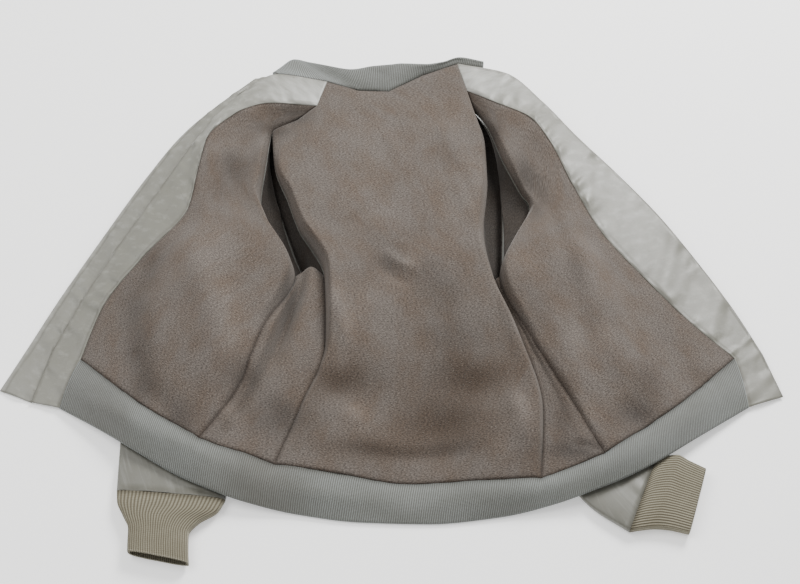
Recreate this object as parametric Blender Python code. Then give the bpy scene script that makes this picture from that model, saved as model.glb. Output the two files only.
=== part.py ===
"""A tanker jacket laid open on a flat surface, lining side up, with its sleeves folded under it.

The collar points along +Y and the waistband along -Y. Tables are in millimetres and worked out into
metres. Each cloth panel is a smooth loft between its table's sections, raised by the folds in FOLDS. Its
wall hangs straight down from those points, so that panels which share a seam line, and layers which share
a panel, never meet.
"""

import math

import bmesh
import bpy
from mathutils import Vector

MM = 0.001

# Cloth thicknesses and the gap left at every seam and between layers.
LINING_THICK = 2.0
SHELL_THICK = 1.2
FLAP_THICK = 2.0
WAISTBAND_THICK = 3.4
COLLAR_THICK = 3.0
SLEEVE_THICK = 2.2
CUFF_THICK = 2.6
TAPE_THICK = 1.0
GAP = 0.3

# How far in from a rolled edge its crest lies, and how much a wall deepens on a steep slope.
CREST_INSET = 9.0
STEEPEST = 0.36

# Columns between the named stations, and rows between the sections.
FACING_COLUMNS = 2
LINING_COLUMNS = (4, 2, 2)
SIDE_COLUMNS = (1, 1, 2, 2)
BACK_COLUMNS = (2, 3, 3, 3, 3, 2)
SECTION_ROWS = 2
BAND_ROWS = 4
RING_POINTS = 22
SLEEVE_DROP = 0.6
ARMHOLE_RINGS = 4
ARMHOLE_THICK = 1.2

# Sections of the wearer's right front, from the waist seam to the shoulder seam. outer is the front edge,
# inner the line where facing meets lining, foot the side seam and then the armhole edge, and crest the
# height beside the foot.
RIGHT_FRONT = (
    # outer              inner              middle             crest  foot
    ((-385, -88, 9), (-351, -99, 13), (-283, -158, 29), 31, (-210, -206, 30)),
    ((-361, -28, 16), (-333, -36, 23), (-258, -95, 40), 40, (-177, -158, 36)),
    ((-322, 50, 28), (-296, 25, 31), (-226, -12, 48), 46, (-150, -76, 42)),
    ((-276, 135, 39), (-246, 92, 42), (-190, 50, 52), 50, (-119, 2, 28)),
    ((-243, 196, 46), (-238, 150, 49), (-198, 108, 46), 50, (-150, 70, 30)),
    ((-216, 240, 48), (-231, 192, 51), (-200, 150, 44), 50, (-164, 115, 32)),
    ((-189, 273, 47), (-205, 224, 52), (-182, 190, 44), 48, (-161, 165, 33)),
    ((-152, 301, 45), (-163, 247, 51), (-160, 232, 42), 38, (-156, 214, 34)),
    ((-91, 292, 41), (-102, 251, 42), (-113, 243.5, 38), 36, (-125, 235.2, 34)),
)

# The wearer's left front, with the same sections.
LEFT_FRONT = (
    # outer              inner              middle             crest  foot
    ((401, -90, 8), (368, -97, 12), (296, -162, 21), 27, (213, -222, 26)),
    ((377, -35, 12), (326, -55, 17), (252, -102, 30), 33, (179, -152, 29)),
    ((345, 25, 17), (277, 4, 24), (212, -28, 40), 39, (143, -80, 33)),
    ((304, 92, 24), (232, 65, 32), (180, 40, 46), 44, (113, 3, 28)),
    ((262, 148, 30), (203, 128, 41), (182, 115, 43), 42, (152, 100, 30)),
    ((214, 207, 36), (180, 188, 48), (163, 162, 41), 41, (142, 123, 31)),
    ((176, 259, 40), (159, 224, 50), (140, 196, 44), 42, (125, 168, 32)),
    ((132, 304, 44), (118, 251, 48), (112, 240, 43), 39, (105, 230, 33)),
    ((72, 320, 44), (83, 275, 43), (85.2, 268, 38), 36, (87.5, 261, 33)),
)

# Sections of the back lining between its two rolled edges. bow is how far the middle lies below a
# straight line.
BACK = (
    # right_foot            crest middle bow crest left_foot
    ((-130, -234, 24), 25, 9, 8, 22, (146, -248, 20)),
    ((-105, -163, 26), 30, 15, 3, 41, (152, -165, 26)),
    ((-82, -85, 27), 42, 24, 0, 50, (133, -82, 28)),
    ((-86, 4, 27), 48, 32, 0, 50, (107, -2, 27)),
    ((-119, 74, 28), 46, 36, 0, 46, (97, 66, 29)),
    ((-133, 114, 30), 45, 38, 0, 43, (104, 140, 31)),
    ((-150, 160, 33), 43, 38, -12, 42, (103, 195, 34)),
)

# The back's neck edge and the ends of the two facings. The column says which of the back's columns has
# that corner.
BACK_TOP = (
    # column point
    (2, (-125, 235.2, 34)),
    (4, (-102, 251, 42)),
    (5, (-91, 292, 41)),
    (6, (-52, 283, 35)),
    (8, (-14, 284, 32)),
    (11, (28, 308, 36)),
    (13, (72, 320, 44)),
    (15, (83, 275, 43)),
    (16, (87.5, 261, 33)),
)

# Side panels under the arms. brow is the edge of the fold that overhangs them, valley the bottom beside
# it and ridge the swell beyond. Places are shares of the way from the front to the back, and lift swells
# the row upwards.
RIGHT_SIDE = (
    # brow height valley height ridge height lift
    (0.12, 29, 0.30, 27, 0.62, 29, 0),
    (0.12, 34, 0.30, 27, 0.62, 28, 0),
    (0.13, 41, 0.28, 22, 0.55, 31, 0),
    (0.10, 28, 0.25, 28, 0.58, 34, 9),
)
LEFT_SIDE = (
    # brow height valley height ridge height lift
    (0.15, 25, 0.40, 22, 0.70, 21, 0),
    (0.20, 27, 0.45, 24, 0.75, 24, 0),
    (0.20, 31, 0.50, 28, 0.80, 28, 0),
    (0.20, 28, 0.50, 28, 0.80, 27, 0),
)

# Where the cotton front edges end below the waist seam, on each side of the waistband.
RIGHT_TAB = ((-399, -148, 5), (-367, -156, 6))
LEFT_TAB = ((416, -141, 4), (376, -155, 6))

# The outer edge of the wind flap, from the hem to its top.
FLAP_EDGE = (
    # x    y     z
    (-436, -133, 3),
    (-412, -77, 6),
    (-388, -21, 10),
    (-351, 54, 18),
    (-302, 146, 30),
    (-266, 203, 38),
    (-224, 250, 43),
    (-181, 296, 42),
)

# The lower edge of the knitted waistband, from the wearer's right to left.
BAND_EDGE = (
    # x    y     z
    (-367, -156, 6),
    (-319, -186, 13),
    (-272, -218, 20),
    (-217, -250, 20),
    (-160, -270, 13),
    (-103, -281, 5),
    (-41, -289, 4),
    (30, -291, 4),
    (100, -284, 5),
    (160, -272, 12),
    (210, -256, 20),
    (260, -232, 20),
    (318, -193, 12),
    (376, -155, 6),
)
BAND_BULGE = 5.0
FLAP_DROP = 1.5

# The knitted collar, a row for each point of the neck seam from the wearer's right to left: the fold
# where it turns down, how far back from the fold its free edge lies, and how far below.
COLLAR = (
    # fold           back drop
    ((-160, 309, 43), 3, 13),
    ((-134, 341, 34), 8, 20),
    ((-115, 334, 35), 10, 24),
    ((-62, 314, 43), 14, 35),
    ((-36, 318, 44), 16, 37),
    ((-12, 321, 44), 16, 37),
    ((3, 323, 44), 14, 37),
    ((18, 323, 44), 9, 36),
    ((32, 323, 44), 5, 34),
    ((54, 325, 45), 4, 30),
    ((76, 331, 47), 4, 24),
    ((105, 324, 47), 4, 18),
)
COLLAR_ROUND = 4.5

# Rings of the sleeves below the armhole: the two ends of the flattened tube, the height of its middle,
# half its thickness, and how far that thickness is turned from upright, so that 90 lies open to the sky.
RIGHT_SLEEVE = (
    # under_arm     over_arm      middle half  turn
    ((-104, 3), (-158, 204), 11.5, 11.5, -80),
    ((-102, -2), (-168, 202), 8.4, 8.0, -52),
    ((-100, -8), (-192, 196), 5.8, 5.5, -22),
    ((-100, -14), (-240, 168), 4.1, 4.1, 0),
    ((-103, -22), (-278, 120), 4.1, 4.1, 0),
    ((-108, -38), (-298, 58), 4.1, 4.1, 0),
    ((-119, -66), (-306, -18), 4.1, 4.1, 0),
    ((-137, -110), (-303, -90), 4.1, 4.1, 0),
    ((-156, -160), (-299, -150), 4.6, 4.6, 0),
    ((-171, -212), (-296, -205), 5.8, 5.8, 0),
    ((-180, -267), (-293, -257), 7.0, 7.0, 0),
)
LEFT_SLEEVE = (
    # under_arm    over_arm     middle half  turn
    ((112, -1), (106, 246), 11.5, 12.5, 80),
    ((111, -5), (120, 244), 8.4, 8.0, 52),
    ((111, -10), (146, 235), 5.8, 5.5, 22),
    ((112, -16), (198, 194), 4.1, 4.1, 0),
    ((115, -24), (238, 140), 4.1, 4.1, 0),
    ((119, -38), (260, 72), 4.1, 4.1, 0),
    ((127, -66), (268, -4), 4.1, 4.1, 0),
    ((138, -113), (264, -82), 4.1, 4.1, 0),
    ((152, -172), (259, -146), 4.6, 4.6, 0),
    ((166, -226), (258, -186), 5.4, 5.4, 0),
    ((194, -272), (261, -206), 6.4, 6.4, 0),
    ((233, -302), (267, -223), 7.2, 7.2, 0),
)

# Rings of the knitted cuffs, from just past the seam to the open mouth.
RIGHT_CUFF = (
    # under_arm     over_arm      middle half turn
    ((-187, -281), (-291, -270), 7.6, 7.6, 0),
    ((-205, -293), (-284, -284), 8.0, 8.0, 0),
    ((-214, -306), (-276, -300), 8.4, 8.4, 0),
    ((-213, -322), (-275, -313), 8.6, 8.6, 0),
    ((-211, -338), (-274, -325), 8.6, 8.6, 0),
)
LEFT_CUFF = (
    # under_arm    over_arm      middle half turn
    ((247, -300), (278, -217), 7.6, 7.6, 0),
    ((259, -299), (291, -216), 8.0, 8.0, 0),
    ((272, -300), (303, -223), 8.2, 8.2, 0),
    ((293, -305), (319, -232), 8.2, 8.2, 0),
)

# Long soft ridges and hollows in the body cloth: from and to in plan, how wide, and how high.
FOLDS = (
    # from          to            width height
    ((60, 205), (88, 90), 16, 5),
    ((-20, 60), (30, 20), 26, 5),
    ((-40, -20), (10, 40), 22, -4),
    ((-70, -120), (-40, -150), 34, -7),
    ((95, -110), (40, -170), 40, -6),
    ((-265, 150), (-205, 170), 16, 4),
    ((-235, 40), (-205, -110), 30, 5),
    ((-305, -20), (-280, -110), 26, -3),
    ((-175, 150), (-205, 70), 20, -5),
    ((165, 110), (195, 60), 24, -7),
    ((200, 60), (250, -110), 24, 5),
    ((255, 0), (300, -100), 22, -3),
    ((150, -20), (190, -120), 18, 4),
)

# The zip's tapes lie under the front edges.
TAPE_WIDTH = 14.0
TAPE_INSET = 2.0

COLOURS = {
    # finish: red, green, blue, roughness
    "lining": (0.112, 0.092, 0.078, 0.95),
    "shell": (0.325, 0.318, 0.270, 0.75),
    "knit": (0.245, 0.262, 0.250, 0.90),
    "cuff_knit": (0.225, 0.205, 0.150, 0.90),
    "tape": (0.110, 0.105, 0.075, 0.85),
}


def smooth(values, place):
    """The value at place, in steps along values, on a smooth curve through them that never overshoots."""
    last = len(values) - 1
    if last == 0:
        return values[0]
    i = min(int(place), last - 1)
    t = place - i
    steps = [b - a for a, b in zip(values, values[1:])]

    def slope(k):
        if k == 0:
            return steps[0]
        if k == last:
            return steps[-1]
        before, after = steps[k - 1], steps[k]
        return 0.0 if before * after <= 0 else 2 * before * after / (before + after)

    a, b = values[i], values[i + 1]
    m, n = slope(i), slope(i + 1)
    return (
        a * (1 + 2 * t) * (1 - t) ** 2
        + m * t * (1 - t) ** 2
        + b * t * t * (3 - 2 * t)
        + n * t * t * (t - 1)
    )


def smooth_point(points, place):
    return tuple(smooth([p[axis] for p in points], place) for axis in range(len(points[0])))


def places(steps):
    """Places along a table, with this many steps in each of its intervals."""
    found = [0.0]
    for i, count in enumerate(steps):
        found += [i + (k + 1) / count for k in range(count)]
    return found


def between(a, b, share):
    return tuple(p + (q - p) * share for p, q in zip(a, b))


def crest_of(foot, towards, height):
    """The point CREST_INSET in from a rolled edge's foot, at the crest's height."""
    reach = math.dist(foot[:2], towards[:2])
    x, y = between(foot[:2], towards[:2], min(0.4, CREST_INSET / reach))
    return (x, y, height)


def fold_height(x, y):
    """How far the folds raise the cloth at a point in plan."""
    total = 0.0
    for (x0, y0), (x1, y1), width, height in FOLDS:
        run_x, run_y = x1 - x0, y1 - y0
        length = math.hypot(run_x, run_y)
        along = ((x - x0) * run_x + (y - y0) * run_y) / length**2
        across = ((x - x0) * run_y - (y - y0) * run_x) / length
        past = max(0.0, -along, along - 1) * length
        total += height * math.exp(-((across / width) ** 2) - (past / (1.5 * width)) ** 2)
    return total


def raised(point, share=1.0):
    x, y, z = point
    return (x, y, z + share * fold_height(x, y))


def along_sections(sections):
    """Rows of points that run smoothly from section to section."""
    rows = places([SECTION_ROWS] * (len(sections) - 1))
    columns = range(len(sections[0]))
    return [[smooth_point([s[c] for s in sections], row) for c in columns] for row in rows]


def front_rows(table):
    """Rows of the facing and of the front lining beside it."""
    facing, lining = [], []
    for outer, inner, middle, crest, foot in table:
        facing.append([between(outer, inner, c / FACING_COLUMNS) for c in range(FACING_COLUMNS + 1)])
        stations = [inner, middle, crest_of(foot, middle, crest), foot]
        lining.append([smooth_point(stations, place) for place in places(LINING_COLUMNS)])
    facing, lining = along_sections(facing), along_sections(lining)
    for row in lining:
        last = len(row) - 1
        row[:] = [raised(p, min(c, last - c, 2) / 2) for c, p in enumerate(row)]
    return facing, lining


def back_rows(right_shoulder):
    """Rows of the back, up to the neck. right_shoulder is the front's points along the shoulder corner."""
    rows = []
    for right, right_crest, middle, bow, left_crest, left in BACK:
        centre = between(right, left, 0.5)
        centre = (centre[0], centre[1] - bow, middle)
        rolled_right = crest_of(right, centre, right_crest)
        rolled_left = crest_of(left, centre, left_crest)
        inner_right = between(rolled_right, centre, 0.45)
        inner_left = between(rolled_left, centre, 0.45)
        stations = [right, rolled_right, inner_right, centre, inner_left, rolled_left, left]
        rows.append([smooth_point(stations, place) for place in places(BACK_COLUMNS)])
    top = list(right_shoulder)
    for (start, a), (end, b) in zip(BACK_TOP, BACK_TOP[1:]):
        top += [between(a, b, k / (end - start)) for k in range(end - start)]
    rows.append(top + [BACK_TOP[-1][1]])
    rows = along_sections(rows)
    for r, row in enumerate(rows):
        last = len(row) - 1
        edge = min(1.0, (len(rows) - 1 - r) / 2)
        row[:] = [raised(p, edge * min(c, last - c, 2) / 2) for c, p in enumerate(row)]
    return rows


def side_rows(table, front_foot, back_foot):
    """Rows of a side panel between the front's foot and the back's, from the waist seam to the armhole."""
    rows = []
    for r, (front, back) in enumerate(zip(front_foot, back_foot)):
        place = r / SECTION_ROWS
        brow, brow_z, valley, valley_z, ridge, ridge_z, lift = (
            smooth([s[k] for s in table], place) for k in range(7)
        )
        stations = [(0, front[2]), (brow, brow_z), (valley, valley_z), (ridge, ridge_z), (1, back[2])]
        row = []
        for column in places(SIDE_COLUMNS):
            share, z = smooth_point(stations, column)
            x, y, _ = between(front, back, share)
            row.append((x, y + lift * math.sin(math.pi * share), z))
        rows.append(row)
    return rows


def upright_share(rows, r, c):
    """How nearly the cloth lies level at a grid point: 1 where level, and STEEPEST at least."""
    down, up = rows[max(r - 1, 0)][c], rows[min(r + 1, len(rows) - 1)][c]
    before, after = rows[r][max(c - 1, 0)], rows[r][min(c + 1, len(rows[r]) - 1)]
    normal = (Vector(after) - Vector(before)).cross(Vector(up) - Vector(down))
    return max(STEEPEST, abs(normal.z) / max(normal.length, 1e-6))


def drawn_in(rows, gap):
    """The same points with the grid's border drawn in by gap, in plan."""
    last_row, last_column = len(rows) - 1, len(rows[0]) - 1
    moved = [list(row) for row in rows]

    def towards(point, inner):
        length = math.dist(point[:2], inner[:2])
        return between(point, inner, min(0.4, gap / max(length, 1e-6)))

    for r in range(last_row + 1):
        for c, inner in ((0, 1), (last_column, last_column - 1)):
            moved[r][c] = towards(rows[r][c], rows[r][inner])
    for c in range(last_column + 1):
        for r, inner in ((0, 1), (last_row, last_row - 1)):
            moved[r][c] = towards(moved[r][c], moved[inner][c])
    return moved


def lowered(rows, depth, slopes):
    """The points let straight down by depth, and by more where the cloth is steep."""
    return [
        [(x, y, z - depth / slope) for (x, y, z), slope in zip(row, line)]
        for row, line in zip(rows, slopes)
    ]


def slopes_of(rows):
    return [[upright_share(rows, r, c) for c in range(len(rows[0]))] for r in range(len(rows))]


def material(name):
    red, green, blue, roughness = COLOURS[name]
    made = bpy.data.materials.get(name) or bpy.data.materials.new(name)
    made.use_nodes = True
    shader = made.node_tree.nodes["Principled BSDF"]
    shader.inputs["Base Color"].default_value = (red, green, blue, 1)
    shader.inputs["Roughness"].default_value = roughness
    made.diffuse_color = (red, green, blue, 1)
    return made


def wall(name, face, other, finish, closed=False):
    """One cloth wall between two grids of points: a grid is laid on face, and extruded to other."""
    row_count, column_count = len(face), len(face[0])
    across = column_count if closed else column_count - 1
    bm = bmesh.new()
    bmesh.ops.create_grid(bm, x_segments=across, y_segments=row_count - 1, size=1)
    place = bm.verts.layers.int.new("place")
    for vertex in bm.verts:
        c = round((vertex.co.x + 1) / 2 * across)
        r = round((vertex.co.y + 1) / 2 * (row_count - 1))
        vertex[place] = r * column_count + c % column_count
        vertex.co = Vector(face[r][c % column_count]) * MM
    if closed:
        bmesh.ops.remove_doubles(bm, verts=bm.verts, dist=1e-6)
    bmesh.ops.triangulate(bm, faces=bm.faces, quad_method="FIXED")
    made = bmesh.ops.extrude_face_region(bm, geom=bm.faces[:], use_keep_orig=True)
    for vertex in made["geom"]:
        if isinstance(vertex, bmesh.types.BMVert):
            r, c = divmod(vertex[place], column_count)
            vertex.co = Vector(other[r][c]) * MM
    bmesh.ops.recalc_face_normals(bm, faces=bm.faces)
    mesh = bpy.data.meshes.new(name)
    bm.to_mesh(mesh)
    bm.free()
    mesh.materials.append(material(finish))
    mesh.shade_smooth()
    obj = bpy.data.objects.new(name, mesh)
    jacket.objects.link(obj)
    return obj


def laid_wall(name, rows, thick, finish, under=0.0, slopes=None):
    """A wall that hangs from the panel's points, under what lies on it. Returns its lower points."""
    inset = drawn_in(rows, GAP / 2)
    slopes = slopes or slopes_of(rows)
    lower = lowered(inset, under + thick, slopes)
    wall(name, lowered(inset, under, slopes), lower, finish)
    return lower


def arc_shares(points):
    """The share of the line's length at each of its points."""
    lengths = [0.0]
    for a, b in zip(points, points[1:]):
        lengths.append(lengths[-1] + math.dist(a, b))
    return [length / lengths[-1] for length in lengths]


def at_share(points, share):
    """The point at a share of the length of the line through points."""
    shares = arc_shares(points)
    i = next((k for k in range(len(shares) - 1) if shares[k + 1] >= share), len(shares) - 2)
    return between(points[i], points[i + 1], (share - shares[i]) / (shares[i + 1] - shares[i]))


def finer(points):
    return [smooth_point(points, k / 8) for k in range(8 * (len(points) - 1) + 1)]


def build_front(side, table, tab):
    """A front's lining, shell and facing. Returns the lining's and facing's grids and the shell's underside."""
    facing, lining = front_rows(table)
    both = [f[:-1] + p for f, p in zip(facing, lining)]
    slopes = slopes_of(both)
    edge = FACING_COLUMNS
    laid_wall("lining_front_" + side, lining, LINING_THICK, "lining", slopes=[s[edge:] for s in slopes])
    lower = laid_wall(
        "shell_front_" + side, both, SHELL_THICK, "shell", under=LINING_THICK + GAP, slopes=slopes
    )
    low = [between(tab[0], tab[1], c / edge) for c in range(edge + 1)]
    half = [between(a, b, 0.5) for a, b in zip(low, facing[0])]
    facing_slopes = [s[: edge + 1] for s in slopes]
    laid_wall(
        "facing_" + side,
        [low, half] + facing,
        LINING_THICK,
        "shell",
        slopes=[facing_slopes[0], facing_slopes[0]] + facing_slopes,
    )
    return lining, facing, lower


def build_panel(name, rows):
    slopes = slopes_of(rows)
    laid_wall("lining_" + name, rows, LINING_THICK, "lining", slopes=slopes)
    return laid_wall("shell_" + name, rows, SHELL_THICK, "shell", under=LINING_THICK + GAP, slopes=slopes)


def build_waistband(hem):
    """The knitted waistband, from the hem seam down to its folded lower edge."""
    edge = finer(BAND_EDGE)
    columns = []
    for top, share in zip(hem, arc_shares(hem)):
        bottom = at_share(edge, share)
        column = []
        for k in range(BAND_ROWS + 1):
            x, y, z = between(bottom, top, k / BAND_ROWS)
            column.append((x, y, z + BAND_BULGE * math.sin(math.pi * k / BAND_ROWS)))
        columns.append(column)
    laid_wall("waistband", [list(row) for row in zip(*columns)], WAISTBAND_THICK, "knit")


def build_flap(facing):
    """The wind flap that stands out past the right facing's edge."""
    seam = [RIGHT_TAB[0], between(RIGHT_TAB[0], facing[0][0], 0.5)]
    seam += [row[0] for row in facing[: 7 * SECTION_ROWS + 1]]
    edge = finer(FLAP_EDGE)
    rows = []
    for point, share in zip(seam, arc_shares(seam)):
        outer = at_share(edge, share)
        tucked = (point[0], point[1], max(point[2] - FLAP_DROP, 3.0))
        rows.append([outer, between(outer, tucked, 0.5), tucked])
    laid_wall("wind_flap", rows, FLAP_THICK, "shell")


def build_tape(name, facing):
    """A zip tape under a front edge, against the shell's underside."""
    rows = []
    for row in facing[: 6 * SECTION_ROWS + 1]:
        outer, inner = row[0], row[-1]
        width = math.dist(outer[:2], inner[:2])
        start = between(outer, inner, TAPE_INSET / width)
        end = between(outer, inner, min(0.9, (TAPE_INSET + TAPE_WIDTH) / width))
        rows.append([start, end])
    slopes = slopes_of(facing)
    slopes = [[line[0], line[0]] for line in slopes]
    under = LINING_THICK + GAP + SHELL_THICK + GAP
    wall(name, lowered(rows, under, slopes), lowered(rows, under + TAPE_THICK, slopes), "tape")


def collar_curve(reach, seam_z, fold_z, back, drop):
    """The collar's section, as distance from the seam and height: its outer face, then its inner face."""
    low = fold_z - COLLAR_ROUND
    rest = drop - COLLAR_ROUND
    outer = [
        (GAP, seam_z),
        (0.4 * reach, seam_z + 0.55 * (fold_z - seam_z)),
        (max(reach - COLLAR_ROUND, 0.6 * reach), fold_z),
        (reach, low),
        (reach - 0.1 * back, low - 0.4 * rest),
        (reach - 0.45 * back, low - 0.75 * rest),
        (reach - back, low - rest),
    ]
    inner = []
    for k, (r, z) in enumerate(outer):
        before, after = outer[max(k - 1, 0)], outer[min(k + 1, len(outer) - 1)]
        run, rise = after[0] - before[0], after[1] - before[1]
        length = math.hypot(run, rise)
        if k == 0:
            run, rise, length = 1.0, 0.0, 1.0
        inner.append((r + COLLAR_THICK * rise / length, z - COLLAR_THICK * run / length))
    return outer, inner


def build_collar(neck):
    """The knitted collar: up from the neck seam, over the fold, and down behind."""
    outer_rows, inner_rows = [], []
    for seam, (fold, back, drop) in zip(neck, COLLAR):
        reach = math.dist(seam[:2], fold[:2])
        heading = ((fold[0] - seam[0]) / reach, (fold[1] - seam[1]) / reach)
        for curve, rows in zip(collar_curve(reach, seam[2], fold[2], back, drop), (outer_rows, inner_rows)):
            rows.append([(seam[0] + heading[0] * r, seam[1] + heading[1] * r, z) for r, z in curve])
    wall("collar", outer_rows, inner_rows, "knit")


def ring(section, thin=0.0):
    """One flattened ring of a sleeve or cuff, drawn in all round by thin."""
    (x0, y0), (x1, y1), middle, half, turn = section
    centre = Vector(((x0 + x1) / 2, (y0 + y1) / 2, middle))
    long_axis = Vector(((x1 - x0) / 2, (y1 - y0) / 2, 0))
    width = long_axis.length
    long_axis.normalize()
    side_axis = long_axis.cross(Vector((0, 0, 1)))
    angle = math.radians(turn)
    short_axis = Vector((0, 0, math.cos(angle))) + side_axis * math.sin(angle)
    boxy = 0.45 + abs(turn) / 200
    points = []
    for k in range(RING_POINTS):
        phase = 2 * math.pi * k / RING_POINTS
        lengthwise, across = math.cos(phase), math.sin(phase)
        flat = math.copysign(min(1.0, 1.04 * abs(across) ** boxy), across)
        offset = long_axis * lengthwise * (width - thin) + short_axis * flat * (half - thin)
        points.append(tuple(centre + offset))
    return points


def armhole_ring(front_edge, side_edge, back_edge, outward):
    """The sleeve's first ring, sewn under the armhole's edges and moved outward under them in plan.

    front_edge runs up to the shoulder, side_edge from front to back, and back_edge up to the shoulder.
    """
    half = len(side_edge) // 2
    down = front_edge[::-1] + side_edge[1 : half + 1]
    up = back_edge[::-1] + side_edge[-2 : half - 1 : -1]
    points = []
    for k in range(RING_POINTS):
        share = (1 - math.cos(2 * math.pi * k / RING_POINTS)) / 2
        edge = down if 2 * k <= RING_POINTS else up
        x, y, _ = at_share(edge, share)
        near = [min(1.0, max(0.0, share + step)) for step in (-0.07, -0.035, 0, 0.035, 0.07)]
        lowest = min(at_share(edge, place)[2] for place in near)
        points.append(Vector((x, y, lowest - SLEEVE_DROP)))
    turned = 1 if front_edge[0][0] < 0 else -1
    moved = []
    for k, point in enumerate(points):
        run = points[(k + 1) % RING_POINTS] - points[k - 1]
        aside = Vector((run.y, -run.x, 0)).normalized()
        moved.append(tuple(point + aside * outward * turned))
    return moved


def thinned(rings, thick):
    """The rings moved in from their own surface by thick."""
    moved = []
    for r, points in enumerate(rings):
        before, after = rings[max(r - 1, 0)], rings[min(r + 1, len(rings) - 1)]
        centre = sum((Vector(p) for p in points), Vector()) / RING_POINTS
        line = []
        for k, point in enumerate(points):
            round_run = Vector(points[(k + 1) % RING_POINTS]) - Vector(points[k - 1])
            long_run = Vector(after[k]) - Vector(before[k])
            normal = round_run.cross(long_run).normalized()
            inward = normal if normal.dot(centre - Vector(point)) > 0 else -normal
            depth = thick if r > ARMHOLE_RINGS else ARMHOLE_THICK
            line.append(tuple(Vector(point) + inward * depth))
        moved.append(line)
    return moved


def build_sleeve(name, table, armhole):
    outer = [armhole_ring(*armhole, ARMHOLE_THICK)] + [ring(section) for section in table]
    inner = thinned(outer, SLEEVE_THICK)
    inner[0] = armhole_ring(*armhole, 0.0)
    inner[-1] = ring(table[-1], SLEEVE_THICK)
    wall(name, outer, inner, "shell", closed=True)


def build_cuff(name, table, sleeve_end):
    """A knitted cuff, from just past the sleeve's end."""
    start, end, *rest = sleeve_end
    run_x, run_y = end[0] - start[0], end[1] - start[1]
    length = math.hypot(run_x, run_y)
    turned = 1 if run_x < 0 else -1
    step = (-run_y / length * GAP * turned, run_x / length * GAP * turned)
    first = ((start[0] + step[0], start[1] + step[1]), (end[0] + step[0], end[1] + step[1]), *rest)
    rings = [first, *table]
    wall(
        name,
        [ring(section) for section in rings],
        [ring(section, min(CUFF_THICK, section[3] - 2)) for section in rings],
        "cuff_knit",
        closed=True,
    )


def build_jacket():
    right_lining, right_facing, right_under = build_front("right", RIGHT_FRONT, RIGHT_TAB)
    left_lining, left_facing, left_under = build_front("left", LEFT_FRONT, LEFT_TAB)
    corner = (len(RIGHT_FRONT) - 2) * SECTION_ROWS
    back = back_rows([row[-1] for row in right_lining[corner:-1]])
    arm = (len(RIGHT_SIDE) - 1) * SECTION_ROWS
    right_side = side_rows(
        RIGHT_SIDE,
        [row[-1] for row in right_lining[: arm + 1]],
        [row[0] for row in back[: arm + 1]],
    )
    left_side = side_rows(
        LEFT_SIDE,
        [row[-1] for row in left_lining[: arm + 1]],
        [row[-1] for row in back[: arm + 1]],
    )
    back_under = build_panel("back", back)
    right_side_under = build_panel("side_right", right_side)
    left_side_under = build_panel("side_left", left_side)

    hem = right_lining[0] + right_side[0][1:] + back[0][1:]
    hem += left_side[0][-2::-1] + left_lining[0][-2::-1]
    build_waistband(hem)
    build_flap(right_facing)
    build_tape("zip_tape_right", right_facing)
    build_tape("zip_tape_left", left_facing)
    neck = [row[0] for row in right_facing[corner:]]
    neck += back[-1][BACK_TOP[2][0] + 1 : BACK_TOP[6][0] + 1]
    neck += [left_facing[-2][0]]
    build_collar(neck)

    right_armhole = (
        [row[-1] for row in right_under[arm : corner + 1]],
        right_side_under[-1],
        [row[0] for row in back_under[arm:]],
    )
    left_armhole = (
        [row[-1] for row in left_under[arm:]],
        left_side_under[-1],
        [row[-1] for row in back_under[arm:]],
    )
    build_sleeve("sleeve_right", RIGHT_SLEEVE, right_armhole)
    build_sleeve("sleeve_left", LEFT_SLEEVE, left_armhole)
    build_cuff("cuff_right", RIGHT_CUFF, RIGHT_SLEEVE[-1])
    build_cuff("cuff_left", LEFT_CUFF, LEFT_SLEEVE[-1])


def centre_on_origin():
    """Move the jacket so that the middle of its box's underside is the origin."""
    points = [vertex.co for obj in jacket.objects for vertex in obj.data.vertices]
    low = Vector([min(p[axis] for p in points) for axis in range(3)])
    high = Vector([max(p[axis] for p in points) for axis in range(3)])
    middle = Vector(((low.x + high.x) / 2, (low.y + high.y) / 2, low.z))
    for point in points:
        point -= middle


for leftover in list(bpy.data.objects):
    bpy.data.objects.remove(leftover, do_unlink=True)
jacket = bpy.data.collections.new("tanker_jacket")
bpy.context.scene.collection.children.link(jacket)
build_jacket()
centre_on_origin()
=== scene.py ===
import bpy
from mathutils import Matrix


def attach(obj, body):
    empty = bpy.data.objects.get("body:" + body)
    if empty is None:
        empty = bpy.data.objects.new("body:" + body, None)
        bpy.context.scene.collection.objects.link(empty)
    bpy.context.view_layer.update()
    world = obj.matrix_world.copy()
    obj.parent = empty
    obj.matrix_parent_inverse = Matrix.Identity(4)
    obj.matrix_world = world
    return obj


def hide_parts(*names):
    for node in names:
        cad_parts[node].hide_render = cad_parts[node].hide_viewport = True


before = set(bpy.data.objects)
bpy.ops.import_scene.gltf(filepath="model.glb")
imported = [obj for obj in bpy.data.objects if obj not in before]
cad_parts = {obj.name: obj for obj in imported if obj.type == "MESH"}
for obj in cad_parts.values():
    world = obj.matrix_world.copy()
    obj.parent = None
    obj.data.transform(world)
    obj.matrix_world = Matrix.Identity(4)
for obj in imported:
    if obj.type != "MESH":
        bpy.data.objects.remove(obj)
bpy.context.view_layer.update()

import math

import bpy
import numpy as np
from mathutils import Vector

# Measures are in millimetres on the jacket's own plan, and are moved onto the row's origin in makeCloth.
planShift = np.array([10.0, -1.5, 0.0])
rowFiner = 14  # rows between two rows of the solids
gapWidth = 0.3
layerDepths = {
    "lining": 2.0, "shell": 1.2, "flap": 2.0, "waistband": 3.4, "collar": 3.0, "sleeve": 2.2, "cuff": 2.6,
}
depthBelow = layerDepths["lining"] + gapWidth + layerDepths["shell"]
steepestShare = 0.36


# Curves, folds and grids

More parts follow.
